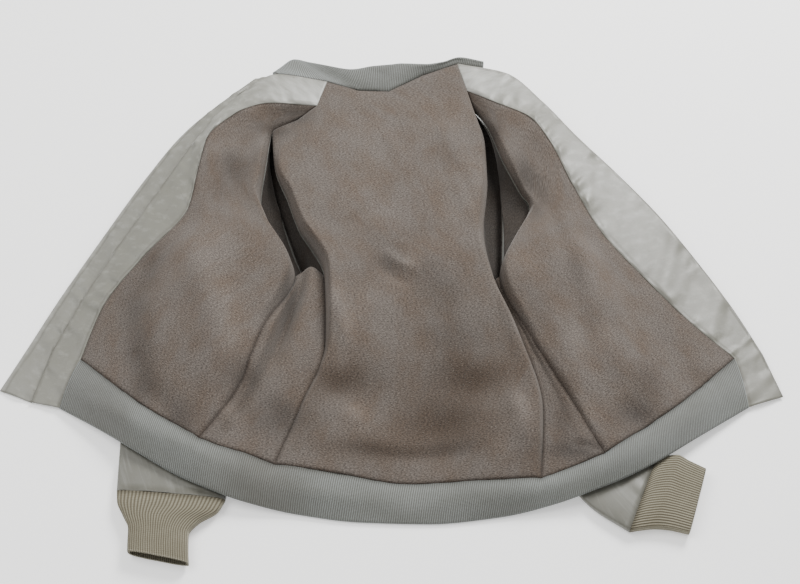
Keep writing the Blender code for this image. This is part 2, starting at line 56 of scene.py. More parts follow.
def stepPlaces(steps):
    found = [0.0]
    for i, count in enumerate(steps):
        found += [i + (k + 1) / count for k in range(count)]
    return np.array(found)


def smoothAlong(values, where):
    # Values on a smooth curve through the first axis that never overshoots.
    values = np.asarray(values, float)
    where = np.asarray(where, float)
    steps = np.diff(values, axis=0)
    slopes = np.zeros_like(values)
    slopes[0], slopes[-1] = steps[0], steps[-1]
    before, after = steps[:-1], steps[1:]
    total = before + after
    same = before * after > 0
    slopes[1:-1] = np.where(same, 2 * before * after / np.where(same, total, 1), 0)
    i = np.minimum(where.astype(int), len(values) - 2)
    t = (where - i).reshape((-1,) + (1,) * (values.ndim - 1))
    a, b, m, n = values[i], values[i + 1], slopes[i], slopes[i + 1]
    start = a * (1 + 2 * t) * (1 - t) ** 2 + m * t * (1 - t) ** 2
    return start + b * t * t * (3 - 2 * t) + n * t * t * (t - 1)


def linearAlong(points, where):
    points = np.asarray(points, float)
    i = np.minimum(np.asarray(where).astype(int), len(points) - 2)
    t = (np.asarray(where) - i)[:, None]
    return points[i] * (1 - t) + points[i + 1] * t


def arcLengths(points):
    return np.concatenate([[0], np.cumsum(np.linalg.norm(np.diff(points, axis=0), axis=1))])


def atShares(points, shares):
    lengths = arcLengths(points)
    return np.stack([np.interp(shares, lengths / lengths[-1], points[:, axis]) for axis in range(3)], axis=1)


def unevenWave(place, spacing, seed):
    # Smooth uneven bumps from -1 to 1 along a line, about this far apart.
    picker = np.random.RandomState(seed)
    count = 400
    knots = np.cumsum(picker.uniform(0.6, 1.5, count)) * spacing - 30 * spacing
    heights = picker.uniform(-1, 1, count) * np.where(np.arange(count) % 2, 1, -0.6)
    i = np.clip(np.searchsorted(knots, place) - 1, 0, count - 2)
    t = np.clip((place - knots[i]) / (knots[i + 1] - knots[i]), 0, 1)
    t = t * t * (3 - 2 * t)
    return heights[i] * (1 - t) + heights[i + 1] * t


def creaseHeights(points, creases):
    # The rise of soft creases, each a line in plan, how wide it is and how high.
    total = np.zeros(points.shape[:-1])
    x, y = points[..., 0], points[..., 1]
    for line, width, height in creases:
        nearest = np.full(total.shape, 1e9)
        along = np.zeros(total.shape)
        line = np.asarray(line, float)
        lengths = arcLengths(line)
        for (x0, y0), (x1, y1), start in zip(line, line[1:], lengths):
            runX, runY = x1 - x0, y1 - y0
            length = math.hypot(runX, runY)
            share = np.clip(((x - x0) * runX + (y - y0) * runY) / length**2, 0, 1)
            away = np.hypot(x - x0 - share * runX, y - y0 - share * runY)
            closer = away < nearest
            nearest = np.where(closer, away, nearest)
            along = np.where(closer, start + share * length, along)
        ends = np.minimum(along, lengths[-1] - along) / max(0.35 * lengths[-1], 1e-6)
        fade = 0.25 + 0.75 * np.clip(ends, 0, 1) ** 0.7
        total += height * fade * np.exp(-((nearest / width) ** 2))
    return total


def foldHeights(points, folds):
    # The long folds that the solids have too.
    total = np.zeros(points.shape[:-1])
    x, y = points[..., 0], points[..., 1]
    for (x0, y0), (x1, y1), width, height in folds:
        runX, runY = x1 - x0, y1 - y0
        length = math.hypot(runX, runY)
        along = ((x - x0) * runX + (y - y0) * runY) / length**2
        across = ((x - x0) * runY - (y - y0) * runX) / length
        past = np.maximum(0, np.maximum(-along, along - 1)) * length
        total += height * np.exp(-((across / width) ** 2) - (past / (1.5 * width)) ** 2)
    return total


def gridDistances(grid):
    # How far each point lies from the grid's four borders: first row, last row, first column, last column.
    down = np.linalg.norm(np.diff(grid, axis=0), axis=2)
    across = np.linalg.norm(np.diff(grid, axis=1), axis=2)
    rows = np.concatenate([np.zeros((1, grid.shape[1])), np.cumsum(down, axis=0)])
    columns = np.concatenate([np.zeros((grid.shape[0], 1)), np.cumsum(across, axis=1)], axis=1)
    return rows, rows[-1:] - rows, columns, columns[:, -1:] - columns


def slopesOf(grid):
    up = np.empty_like(grid)
    up[1:-1] = grid[2:] - grid[:-2]
    up[0], up[-1] = grid[1] - grid[0], grid[-1] - grid[-2]
    side = np.empty_like(grid)
    side[:, 1:-1] = grid[:, 2:] - grid[:, :-2]
    side[:, 0], side[:, -1] = grid[:, 1] - grid[:, 0], grid[:, -1] - grid[:, -2]
    normal = np.cross(side, up)
    return np.maximum(steepestShare, np.abs(normal[..., 2]) / np.maximum(np.linalg.norm(normal, axis=2), 1e-9))


def lowered(grid, depth, slopes):
    found = grid.copy()
    found[..., 2] -= depth / slopes
    return found


def drawnIn(grid, gap):
    moved = grid.copy()
    for r, c, inner in ((slice(None), 0, 1), (slice(None), -1, -2)):
        run = grid[r, inner, :2] - grid[r, c, :2]
        share = np.minimum(0.4, gap / np.maximum(np.linalg.norm(run, axis=-1), 1e-6))[..., None]
        moved[r, c] = grid[r, c] + (grid[r, inner] - grid[r, c]) * share
    for r, inner in ((0, 1), (-1, -2)):
        run = moved[inner, :, :2] - moved[r, :, :2]
        share = np.minimum(0.4, gap / np.maximum(np.linalg.norm(run, axis=-1), 1e-6))[..., None]
        moved[r] = moved[r] + (moved[inner] - moved[r]) * share
    return moved


def spot(points, spots):
    # A soft mask from 0 to 1: each spot has its middle in plan, its two radii, its turn and its strength.
    total = np.zeros(points.shape[:-1])
    for x, y, long, short, turn, strength in spots:
        c, s = math.cos(math.radians(turn)), math.sin(math.radians(turn))
        dx, dy = points[..., 0] - x, points[..., 1] - y
        a, b = (dx * c + dy * s) / long, (-dx * s + dy * c) / short
        total = total + strength * np.exp(-(a * a + b * b))
    return np.clip(total, -1, 1)


# Cloth pieces

def makeCloth(name, node, slotName, upper, lower, marks, closed=False, bulge=0.15, pattern=None, inside=None):
    # A closed thin cloth piece between two grids. marks are values that its material reads at each point.
    rowCount, columnCount = upper.shape[:2]
    wide = columnCount if closed else columnCount - 1
    middle = (upper + lower) / 2
    flat = [upper.reshape(-1, 3), lower.reshape(-1, 3)]
    total = rowCount * columnCount
    index = np.arange(total).reshape(rowCount, columnCount)
    if closed:
        index = np.concatenate([index, index[:, :1]], axis=1)
    quads = np.stack([index[:-1, :-1], index[:-1, 1:], index[1:, 1:], index[1:, :-1]], axis=-1).reshape(-1, 4)
    faces = [quads, quads[:, ::-1] + total]
    columnIndex = np.arange(wide + 1)
    cornerRows, cornerColumns = np.meshgrid(np.arange(rowCount), columnIndex, indexing="ij")
    cell = np.stack([cornerRows, cornerColumns], axis=-1)
    cells = np.stack([cell[:-1, :-1], cell[:-1, 1:], cell[1:, 1:], cell[1:, :-1]], axis=2).reshape(-1, 4, 2)
    cellSets = [cells, cells[:, ::-1]]

    def rim(border, cellBorder, outward):
        # The turned edge along one border, rounded by a line of points half way down.
        first = sum(len(part) for part in flat)
        spots = middle.reshape(-1, 3)[border] + outward
        flat.append(spots)
        half = first + np.arange(len(border))
        if closed:
            half = np.append(half, half[0])
            border = np.append(border, border[0])
        for a, b in ((border, half), (half, border + total)):
            faces.append(np.stack([a[1:], a[:-1], b[:-1], b[1:]], axis=-1))
            sides = [cellBorder[1:], cellBorder[:-1], cellBorder[:-1], cellBorder[1:]]
            cellSets.append(np.stack(sides, axis=1))

    def outwardOf(line, inner):
        run = line - inner
        run[..., 2] = 0
        return run / np.maximum(np.linalg.norm(run, axis=-1, keepdims=True), 1e-6) * bulge

    if closed:
        for r, inner in ((0, 1), (rowCount - 1, rowCount - 2)):
            rim(index[r, :-1], cell[r], outwardOf(middle[r], middle[inner]))
    else:
        loop = np.concatenate([
            index[0, :-1], index[:-1, -1], index[-1, :0:-1], index[:0:-1, 0], index[:1, 0]
        ])
        loopCells = np.concatenate([
            cell[0, :-1], cell[:-1, -1], cell[-1, :0:-1], cell[:0:-1, 0], cell[:1, 0]
        ])
        outward = np.zeros_like(middle)
        outward[0] += outwardOf(middle[0], middle[1])
        outward[-1] += outwardOf(middle[-1], middle[-2])
        outward[:, 0] += outwardOf(middle[:, 0], middle[:, 1])
        outward[:, -1] += outwardOf(middle[:, -1], middle[:, -2])
        first = sum(len(part) for part in flat)
        flat.append(middle.reshape(-1, 3)[loop[:-1]] + outward.reshape(-1, 3)[loop[:-1]])
        half = first + np.arange(len(loop) - 1)
        half = np.append(half, half[0])
        for a, b in ((loop, half), (half, loop + total)):
            faces.append(np.stack([a[1:], a[:-1], b[:-1], b[1:]], axis=-1))
            cellSets.append(np.stack([loopCells[1:], loopCells[:-1], loopCells[:-1], loopCells[1:]], axis=1))
        rimIndex = loop[:-1]
    if closed:
        rimIndex = np.concatenate([index[0, :-1], index[-1, :-1]])

    points = (np.concatenate(flat) + planShift) * 0.001
    faces = np.concatenate(faces)
    cellSets = np.concatenate(cellSets)
    tris = np.concatenate([faces[:, :3], faces[:, [0, 2, 3]]])
    a, b, c = (points[tris[:, k]] for k in range(3))
    if np.einsum("ij,ij->i", a, np.cross(b, c)).sum() < 0:
        faces, cellSets = faces[:, ::-1], cellSets[:, ::-1]

    if pattern is None:
        whole = np.concatenate([upper, upper[:, :1]], axis=1) if closed else upper
        rows, _, columns, _ = gridDistances(whole)
        pattern = np.stack([columns, rows], axis=-1)
    pattern = pattern * 0.001

    mesh = bpy.data.meshes.new(name)
    mesh.from_pydata(points.tolist(), [], faces.tolist())
    layer = mesh.uv_layers.new(name="cloth")
    layer.data.foreach_set("uv", pattern[cellSets[..., 0], cellSets[..., 1]].ravel())
    for markName, mark in marks.items():
        mark = np.broadcast_to(mark, (rowCount, columnCount)).reshape(-1)
        stored = mesh.attributes.new(markName, "FLOAT", "POINT")
        stored.data.foreach_set("value", np.concatenate([mark, mark, mark[rimIndex]]).astype(np.float32))
    mesh.shade_smooth()
    mesh.materials.append(finishes[slotName])
    if inside:
        mesh.materials.append(finishes[inside])
        first = len(quads)
        for polygon in mesh.polygons[first : 2 * first]:
            polygon.material_index = 1
    piece = bpy.data.objects.new(name, mesh)
    bpy.context.scene.collection.objects.link(piece)
    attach(piece, "root")
    if node:
        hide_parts(node)
    return piece


def surfaceArea(grid, closed=False):
    if closed:
        grid = np.concatenate([grid, grid[:, :1]], axis=1)
    a, b, c, d = grid[:-1, :-1], grid[:-1, 1:], grid[1:, 1:], grid[1:, :-1]
    halves = np.linalg.norm(np.cross(b - a, c - a), axis=2) + np.linalg.norm(np.cross(c - a, d - a), axis=2)
    return float(halves.sum() / 2) * 1e-6


def declareSheet(piece, grid, closed=False):
    # The cut of the cloth that shows: its greatest width and length along the cloth, and its area.
    whole = np.concatenate([grid, grid[:, :1]], axis=1) if closed else grid
    rows, _, columns, _ = gridDistances(whole)
    width, length = float(columns[:, -1].max()) * 0.001, float(rows[-1].max()) * 0.001
    area = min(surfaceArea(grid, closed), width * length)
    area = max(area, 0.31 * width * length)
    print(f"sheet {piece.name}: {width * 1000:.0f} x {length * 1000:.0f} mm, {area:.4f} m2")


# Finishes

finishes = {}


def addNode(tree, kind, inputs=None, **settings):
    node = tree.nodes.new(kind)
    for key, value in settings.items():
        setattr(node, key, value)
    for key, value in (inputs or {}).items():
        if isinstance(value, bpy.types.NodeSocket):
            tree.links.new(value, node.inputs[key])
        else:
            node.inputs[key].default_value = value
    return node


def newGroup(name, inputs, outputs):
    group = bpy.data.node_groups.new(name, "ShaderNodeTree")
    for socketName, kind, value in inputs:
        socket = group.interface.new_socket(name=socketName, in_out="INPUT", socket_type=kind)
        if value is not None:
            socket.default_value = value
    for socketName, kind in outputs:
        group.interface.new_socket(name=socketName, in_out="OUTPUT", socket_type=kind)
    return group, group.nodes.new("NodeGroupInput"), group.nodes.new("NodeGroupOutput")


def mixColour(tree, share, a, b, blend="MIX"):
    node = tree.nodes.new("ShaderNodeMix")
    node.data_type, node.blend_type = "RGBA", blend
    for socket, value in ((node.inputs[0], share), (node.inputs[6], a), (node.inputs[7], b)):
        if isinstance(value, bpy.types.NodeSocket):
            tree.links.new(value, socket)
        else:
            socket.default_value = value
    return node.outputs[2]


def ramp(tree, value, low, high, outLow=0.0, outHigh=1.0):
    node = addNode(tree, "ShaderNodeMapRange", {0: value, 1: low, 2: high, 3: outLow, 4: outHigh})
    node.clamp = True
    return node.outputs[0]


def mathNode(tree, operation, a, b=0.0):
    return addNode(tree, "ShaderNodeMath", {0: a, 1: b}, operation=operation).outputs[0]


def noise(tree, vector, scale, detail=2.0, roughness=0.5):
    settings = {"Vector": vector, "Scale": scale, "Detail": detail, "Roughness": roughness}
    return addNode(tree, "ShaderNodeTexNoise", settings).outputs["Fac"]


def stretched(tree, vector, scale):
    return addNode(tree, "ShaderNodeVectorMath", {0: vector, 1: scale}, operation="MULTIPLY").outputs[0]


def buildWoolGroup():
    # Heathered wool: a fine crosswise grain with pale flecks, mottled, and browned by old stains; painted shade
    # darkens it along seams, and painted light and shade brighten or darken it where the mark is set.
    group, source, sink = newGroup(
        "heatheredWool",
        [("Pattern", "NodeSocketVector", None), ("Ground", "NodeSocketColor", (0.1, 0.1, 0.1, 1)),
         ("Fleck", "NodeSocketColor", (0.3, 0.3, 0.3, 1)), ("Brown", "NodeSocketColor", (0.1, 0.07, 0.05, 1)),
         ("Stain", "NodeSocketFloat", 0.0), ("Groove", "NodeSocketFloat", 0.0),
         ("Tone", "NodeSocketFloat", 0.0)],
        [("Colour", "NodeSocketColor"), ("Height", "NodeSocketFloat")],
    )
    pattern = source.outputs["Pattern"]
    grain = noise(group, stretched(group, pattern, (420, 900, 1)), 1.0, 3.0, 0.65)
    fleck = noise(group, stretched(group, pattern, (620, 900, 1)), 1.0, 2.0, 0.6)
    cloud = noise(group, stretched(group, pattern, (13, 17, 1)), 1.0, 4.0, 0.6)
    brownCloud = noise(group, stretched(group, pattern, (31, 19, 1)), 1.0, 3.0, 0.55)
    base = mixColour(group, ramp(group, brownCloud, 0.40, 0.66, 0.0, 0.6), source.outputs["Ground"],
                     source.outputs["Brown"])
    base = mixColour(group, source.outputs["Stain"], base, source.outputs["Brown"])
    light = mixColour(group, 1.0, base, (1.75, 1.75, 1.75, 1), "MULTIPLY")
    dark = mixColour(group, 1.0, base, (0.45, 0.44, 0.43, 1), "MULTIPLY")
    grained = mixColour(group, ramp(group, grain, 0.34, 0.66), dark, light)
    flecked = mixColour(group, ramp(group, fleck, 0.60, 0.74, 0.0, 0.75), grained, source.outputs["Fleck"])
    clouded = mixColour(group, ramp(group, cloud, 0.32, 0.70, 0.0, 0.34), flecked,
                        mixColour(group, 1.0, flecked, (0.55, 0.54, 0.53, 1), "MULTIPLY"))
    # Painted shade along seams and edges.
    seamShaded = mixColour(group, source.outputs["Groove"], clouded,
                     mixColour(group, 1.0, clouded, (0.42, 0.38, 0.35, 1), "MULTIPLY"))
    # Painted light and shade: the mark brightens or darkens the colour.
    shadedAndLit = mixColour(group, 1.0, seamShaded, ramp(group, source.outputs["Tone"], -1, 1, 0.1, 1.9), "MULTIPLY")
    group.links.new(shadedAndLit, sink.inputs["Colour"])
    height = mathNode(group, "ADD", mathNode(group, "MULTIPLY", grain, 0.8),
                      mathNode(group, "MULTIPLY", fleck, 0.5))
    group.links.new(height, sink.inputs["Height"])
    return group


def buildCottonGroup():
    # Satin-faced cotton: a close weave with a pale bloom where worn, a pale mark that paints highlights at the
    # facings' neck ends, small stains, painted shade along seams and turned edges, and painted light and shade
    # where the mark is set.
    group, source, sink = newGroup(
        "satinCotton",
        [("Pattern", "NodeSocketVector", None), ("Ground", "NodeSocketColor", (0.3, 0.3, 0.27, 1)),
         ("Bloom", "NodeSocketColor", (0.6, 0.6, 0.57, 1)), ("Soil", "NodeSocketColor", (0.12, 0.1, 0.07, 1)),
         ("Pale", "NodeSocketFloat", 0.0), ("Stain", "NodeSocketFloat", 0.0),
         ("Groove", "NodeSocketFloat", 0.0), ("Tone", "NodeSocketFloat", 0.0)],
        [("Colour", "NodeSocketColor"), ("Height", "NodeSocketFloat"), ("Roughness", "NodeSocketFloat")],
    )
    pattern = source.outputs["Pattern"]
    weave = noise(group, stretched(group, pattern, (1500, 900, 1)), 1.0, 2.0, 0.5)
    cloud = noise(group, stretched(group, pattern, (22, 16, 1)), 1.0, 4.0, 0.62)
    bloom = noise(group, stretched(group, pattern, (60, 90, 1)), 1.0, 4.0, 0.6)
    speck = noise(group, stretched(group, pattern, (240, 240, 1)), 1.0, 1.0, 0.5)
    base = mixColour(group, ramp(group, cloud, 0.35, 0.68, 0.0, 0.5), source.outputs["Ground"],
                     mixColour(group, 1.0, source.outputs["Ground"], (0.62, 0.60, 0.56, 1), "MULTIPLY"))
    # Pale where the mark is set: painted highlights at the facings' neck ends, and a lighter outer edge on the
    # wind flap.
    paleShare = mathNode(group, "MULTIPLY", source.outputs["Pale"], ramp(group, bloom, 0.25, 0.62, 0.45, 1.0))
    pale = mixColour(group, paleShare, base, source.outputs["Bloom"])
    worn = mixColour(group, ramp(group, bloom, 0.52, 0.78, 0.0, 0.35), pale, source.outputs["Bloom"])
    soiled = mixColour(group, source.outputs["Stain"], worn, source.outputs["Soil"])
    specked = mixColour(group, ramp(group, speck, 0.70, 0.76, 0.0, 0.35), soiled, source.outputs["Soil"])
    woven = mixColour(group, ramp(group, weave, 0.3, 0.7, 0.0, 0.28), specked,
                      mixColour(group, 1.0, specked, (0.6, 0.6, 0.58, 1), "MULTIPLY"))
    # Painted shade along seams and edges.
    seamShaded = mixColour(group, source.outputs["Groove"], woven,
                     mixColour(group, 1.0, woven, (0.40, 0.37, 0.32, 1), "MULTIPLY"))
    # Painted light and shade: the mark brightens or darkens the colour.
    shadedAndLit = mixColour(group, 1.0, seamShaded, ramp(group, source.outputs["Tone"], -1, 1, 0.1, 1.9), "MULTIPLY")
    group.links.new(shadedAndLit, sink.inputs["Colour"])
    group.links.new(weave, sink.inputs["Height"])
    group.links.new(ramp(group, bloom, 0.3, 0.7, 0.40, 0.54), sink.inputs["Roughness"])
    return group


def buildRibGroup():
    # Rib knit: raised wales across the piece with loops along each, painted shade in the furrows and between
    # the loops, mottled, with painted shade along seams and painted light and shade where the mark is set.
    group, source, sink = newGroup(
        "ribKnit",
        [("Pattern", "NodeSocketVector", None), ("RibsPerMetre", "NodeSocketFloat", 400.0),
         ("LoopsPerMetre", "NodeSocketFloat", 900.0), ("Wale", "NodeSocketColor", (0.3, 0.33, 0.32, 1)),
         ("Furrow", "NodeSocketColor", (0.1, 0.1, 0.09, 1)),
         ("Soil", "NodeSocketColor", (0.1, 0.08, 0.06, 1)),
         ("Stain", "NodeSocketFloat", 0.0), ("Pale", "NodeSocketFloat", 0.0),
         ("Groove", "NodeSocketFloat", 0.0), ("Tone", "NodeSocketFloat", 0.0)],
        [("Colour", "NodeSocketColor"), ("Height", "NodeSocketFloat")],
    )
    pattern = source.outputs["Pattern"]
    parts = addNode(group, "ShaderNodeSeparateXYZ", {0: pattern})
    wobble = noise(group, stretched(group, pattern, (26, 40, 1)), 1.0, 2.0, 0.5)
    u = mathNode(group, "ADD", parts.outputs[0], mathNode(group, "MULTIPLY", wobble, 0.0016))
    ribTurns = mathNode(group, "MULTIPLY", u, source.outputs["RibsPerMetre"])
    turn = mathNode(group, "MULTIPLY", ribTurns, 2 * math.pi)
    rib = mathNode(group, "MULTIPLY", mathNode(group, "ADD", mathNode(group, "COSINE", turn), 1.0), 0.5)
    loopTurns = mathNode(group, "MULTIPLY", parts.outputs[1], source.outputs["LoopsPerMetre"])
    loopTurn = mathNode(group, "MULTIPLY", loopTurns, 2 * math.pi)
    loop = mathNode(group, "MULTIPLY", mathNode(group, "ADD", mathNode(group, "SINE", loopTurn), 1.0), 0.5)
    fuzz = noise(group, stretched(group, pattern, (700, 500, 1)), 1.0, 3.0, 0.6)
    cloud = noise(group, stretched(group, pattern, (14, 30, 1)), 1.0, 4.0, 0.6)
    # Painted shade in the furrows between the wales and, below, between the loops.
    base = mixColour(group, ramp(group, rib, 0.18, 0.72), source.outputs["Furrow"], source.outputs["Wale"])
    looped = mixColour(group, mathNode(group, "MULTIPLY", loop, 0.22), base, source.outputs["Furrow"])
    fuzzy = mixColour(group, ramp(group, fuzz, 0.35, 0.7, 0.0, 0.4), looped,
                      mixColour(group, 1.0, looped, (1.5, 1.5, 1.5, 1), "MULTIPLY"))
    clouded = mixColour(group, ramp(group, cloud, 0.38, 0.70, 0.0, 0.5), fuzzy,
                        mixColour(group, 1.0, fuzzy, (0.62, 0.60, 0.55, 1), "MULTIPLY"))
    pale = mixColour(group, source.outputs["Pale"], clouded,
                     mixColour(group, 1.0, clouded, (1.55, 1.62, 1.66, 1), "MULTIPLY"))
    soiled = mixColour(group, source.outputs["Stain"], pale, source.outputs["Soil"])
    # Painted shade along seams and edges.
    seamShaded = mixColour(group, source.outputs["Groove"], soiled,
                     mixColour(group, 1.0, soiled, (0.38, 0.36, 0.33, 1), "MULTIPLY"))
    # Painted light and shade: the mark brightens or darkens the colour.
    shadedAndLit = mixColour(group, 1.0, seamShaded, ramp(group, source.outputs["Tone"], -1, 1, 0.1, 1.9), "MULTIPLY")
    group.links.new(shadedAndLit, sink.inputs["Colour"])
    height = mathNode(group, "ADD", mathNode(group, "MULTIPLY", rib, 1.0),
                      mathNode(group, "MULTIPLY", fuzz, 0.35))
    height = mathNode(group, "ADD", height, mathNode(group, "MULTIPLY", loop, 0.25))
    group.links.new(height, sink.inputs["Height"])
    return group


def makeFinish(name, group, values, roughness, bump, depth, sheen=0.0, sheenTint=(1, 1, 1, 1), specular=0.5):
    made = bpy.data.materials.new(name)
    made.use_nodes = True
    tree = made.node_tree
    shader = tree.nodes["Principled BSDF"]
    pattern = addNode(tree, "ShaderNodeUVMap", uv_map="cloth")
    maker = tree.nodes.new("ShaderNodeGroup")
    maker.node_tree = group
    tree.links.new(pattern.outputs[0], maker.inputs["Pattern"])
    for key, value in values.items():
        maker.inputs[key].default_value = value
    for markName in ("stain", "pale", "groove", "tone"):
        socketName = markName.capitalize()
        if socketName in maker.inputs:
            reader = addNode(tree, "ShaderNodeAttribute", attribute_name=markName)
            tree.links.new(reader.outputs["Fac"], maker.inputs[socketName])
    tree.links.new(maker.outputs["Colour"], shader.inputs["Base Color"])
    settings = {"Height": maker.outputs["Height"], "Strength": bump, "Distance": depth}
    relief = addNode(tree, "ShaderNodeBump", settings)
    tree.links.new(relief.outputs[0], shader.inputs["Normal"])
    if "Roughness" in maker.outputs:
        tree.links.new(maker.outputs["Roughness"], shader.inputs["Roughness"])
    else:
        shader.inputs["Roughness"].default_value = roughness
    shader.inputs["Sheen Weight"].default_value = sheen
    shader.inputs["Sheen Tint"].default_value = sheenTint
    shader.inputs["Sheen Roughness"].default_value = 0.5
    shader.inputs["Specular IOR Level"].default_value = specular
    finishes[name] = made


def plainFinish(name, colour, roughness, grain=900.0, bump=0.2):
    made = bpy.data.materials.new(name)
    made.use_nodes = True
    tree = made.node_tree
    shader = tree.nodes["Principled BSDF"]
    place = addNode(tree, "ShaderNodeTexCoord").outputs["Object"]
    spread = noise(tree, place, grain, 2.0, 0.5)
    dark = tuple(0.6 * v for v in colour) + (1,)
    light = tuple(min(1.0, 1.25 * v) for v in colour) + (1,)
    tree.links.new(mixColour(tree, ramp(tree, spread, 0.3, 0.7), dark, light), shader.inputs["Base Color"])
    relief = addNode(tree, "ShaderNodeBump", {"Height": spread, "Strength": bump, "Distance": 0.0002})
    tree.links.new(relief.outputs[0], shader.inputs["Normal"])
    shader.inputs["Roughness"].default_value = roughness
    finishes[name] = made


woolGroup, cottonGroup, ribGroup = buildWoolGroup(), buildCottonGroup(), buildRibGroup()
makeFinish("lining", woolGroup, {"Ground": (0.083, 0.071, 0.062, 1), "Fleck": (0.25, 0.235, 0.21, 1),
                                 "Brown": (0.066, 0.046, 0.032, 1)},
           0.95, 0.5, 0.0005, 0.2, (0.8, 0.75, 0.7, 1), 0.2)
makeFinish("shell", cottonGroup, {"Ground": (0.155, 0.153, 0.126, 1), "Bloom": (0.36, 0.36, 0.335, 1),
                                  "Soil": (0.08, 0.062, 0.042, 1)}, 0.5, 0.25, 0.0003, 0.15)
makeFinish("knit", ribGroup, {"Wale": (0.150, 0.156, 0.146, 1), "Furrow": (0.075, 0.072, 0.062, 1),
                              "Soil": (0.07, 0.055, 0.04, 1), "RibsPerMetre": 430.0, "LoopsPerMetre": 700.0},
           0.85, 0.7, 0.0007, 0.3, (0.8, 0.9, 0.95, 1), 0.3)
makeFinish("cuff_knit", ribGroup, {"Wale": (0.20, 0.185, 0.135, 1), "Furrow": (0.085, 0.073, 0.048, 1),
                                   "Soil": (0.05, 0.036, 0.022, 1), "RibsPerMetre": 345.0,
                                   "LoopsPerMetre": 480.0},
           0.9, 0.7, 0.0008, 0.25, (0.9, 0.88, 0.75, 1), 0.3)
plainFinish("tape", (0.14, 0.13, 0.09), 0.85)
print("finishes made")


# The shared forms, as on the solids

jacketForm = {
    "facingColumns": 2, "liningColumns": (4, 2, 2),
    "sideColumns": (1, 1, 2, 2), "backColumns": (2, 3, 3, 3, 3, 2),
    "sectionRows": 2, "crestInset": 9.0, "facingFiner": 12, "liningFiner": 8, "backFiner": 6, "sideFiner": 10,
    "rightFront": (  # outer, inner, middle, height of the crest, foot
        ((-385, -88, 9), (-351, -99, 13), (-283, -158, 29), 31, (-210, -206, 30)),
        ((-361, -28, 16), (-333, -36, 23), (-258, -95, 40), 40, (-177, -158, 36)),
        ((-322, 50, 28), (-296, 25, 31), (-226, -12, 48), 46, (-150, -76, 42)),
        ((-276, 135, 39), (-246, 92, 42), (-190, 50, 52), 50, (-119, 2, 28)),
        ((-243, 196, 46), (-238, 150, 49), (-198, 108, 46), 50, (-150, 70, 30)),
        ((-216, 240, 48), (-231, 192, 51), (-200, 150, 44), 50, (-164, 115, 32)),
        ((-189, 273, 47), (-205, 224, 52), (-182, 190, 44), 48, (-161, 165, 33)),
        ((-152, 301, 45), (-163, 247, 51), (-160, 232, 42), 38, (-156, 214, 34)),
        ((-91, 292, 41), (-102, 251, 42), (-113, 243.5, 38), 36, (-125, 235.2, 34)),
    ),
    "leftFront": (
        ((401, -90, 8), (368, -97, 12), (296, -162, 21), 27, (213, -222, 26)),
        ((377, -35, 12), (326, -55, 17), (252, -102, 30), 33, (179, -152, 29)),
        ((345, 25, 17), (277, 4, 24), (212, -28, 40), 39, (143, -80, 33)),
        ((304, 92, 24), (232, 65, 32), (180, 40, 46), 44, (113, 3, 28)),
        ((262, 148, 30), (203, 128, 41), (182, 115, 43), 42, (152, 100, 30)),
        ((214, 207, 36), (180, 188, 48), (163, 162, 41), 41, (142, 123, 31)),
        ((176, 259, 40), (159, 224, 50), (140, 196, 44), 42, (125, 168, 32)),
        ((132, 304, 44), (118, 251, 48), (112, 240, 43), 39, (105, 230, 33)),
        ((72, 320, 44), (83, 275, 43), (85.2, 268, 38), 36, (87.5, 261, 33)),
    ),
    "back": (  # right foot, height of its crest, height of the middle, bow, height of the left crest, left foot
        ((-130, -234, 24), 25, 9, 8, 22, (146, -248, 20)),
        ((-105, -163, 26), 30, 15, 3, 41, (152, -165, 26)),
        ((-82, -85, 27), 42, 24, 0, 50, (133, -82, 28)),
        ((-86, 4, 27), 48, 32, 0, 50, (107, -2, 27)),
        ((-119, 74, 28), 46, 36, 0, 46, (97, 66, 29)),
        ((-133, 114, 30), 45, 38, 0, 43, (104, 140, 31)),
        ((-150, 160, 33), 43, 38, -12, 42, (103, 195, 34)),
    ),
    "backTop": (
        (2, (-125, 235.2, 34)), (4, (-102, 251, 42)), (5, (-91, 292, 41)), (6, (-52, 283, 35)),
        (8, (-14, 284, 32)), (11, (28, 308, 36)), (13, (72, 320, 44)), (15, (83, 275, 43)),
        (16, (87.5, 261, 33)),
    ),
    "rightSide": (  # brow, height, valley, height, ridge, height, lift
        (0.12, 29, 0.30, 27, 0.62, 29, 0), (0.12, 34, 0.30, 27, 0.62, 28, 0),
        (0.13, 41, 0.28, 22, 0.55, 31, 0), (0.10, 28, 0.25, 28, 0.58, 34, 9),
    ),
    "leftSide": (
        (0.15, 25, 0.40, 22, 0.70, 21, 0), (0.20, 27, 0.45, 24, 0.75, 24, 0),
        (0.20, 31, 0.50, 28, 0.80, 28, 0), (0.20, 28, 0.50, 28, 0.80, 27, 0),
    ),
    "rightTab": ((-399, -148, 5), (-367, -156, 6)),
    "leftTab": ((416, -141, 4), (376, -155, 6)),
    "folds": (
        ((60, 205), (88, 90), 16, 5), ((-20, 60), (30, 20), 26, 5), ((-40, -20), (10, 40), 22, -4),
        ((-70, -120), (-40, -150), 34, -7), ((95, -110), (40, -170), 40, -6), ((-265, 150), (-205, 170), 16, 4),
        ((-235, 40), (-205, -110), 30, 5), ((-305, -20), (-280, -110), 26, -3),
        ((-175, 150), (-205, 70), 20, -5),
        ((165, 110), (195, 60), 24, -7), ((200, 60), (250, -110), 24, 5), ((255, 0), (300, -100), 22, -3),
        ((150, -20), (190, -120), 18, 4),
    ),
}
form = jacketForm


def crestOf(foot, towards, height):
    run = towards[..., :2] - foot[..., :2]
    reach = np.linalg.norm(run, axis=-1, keepdims=True)
    place = foot[..., :2] + run * np.minimum(0.4, form["crestInset"] / reach)
    return np.concatenate([place, np.asarray(height, float)[..., None]], axis=-1)


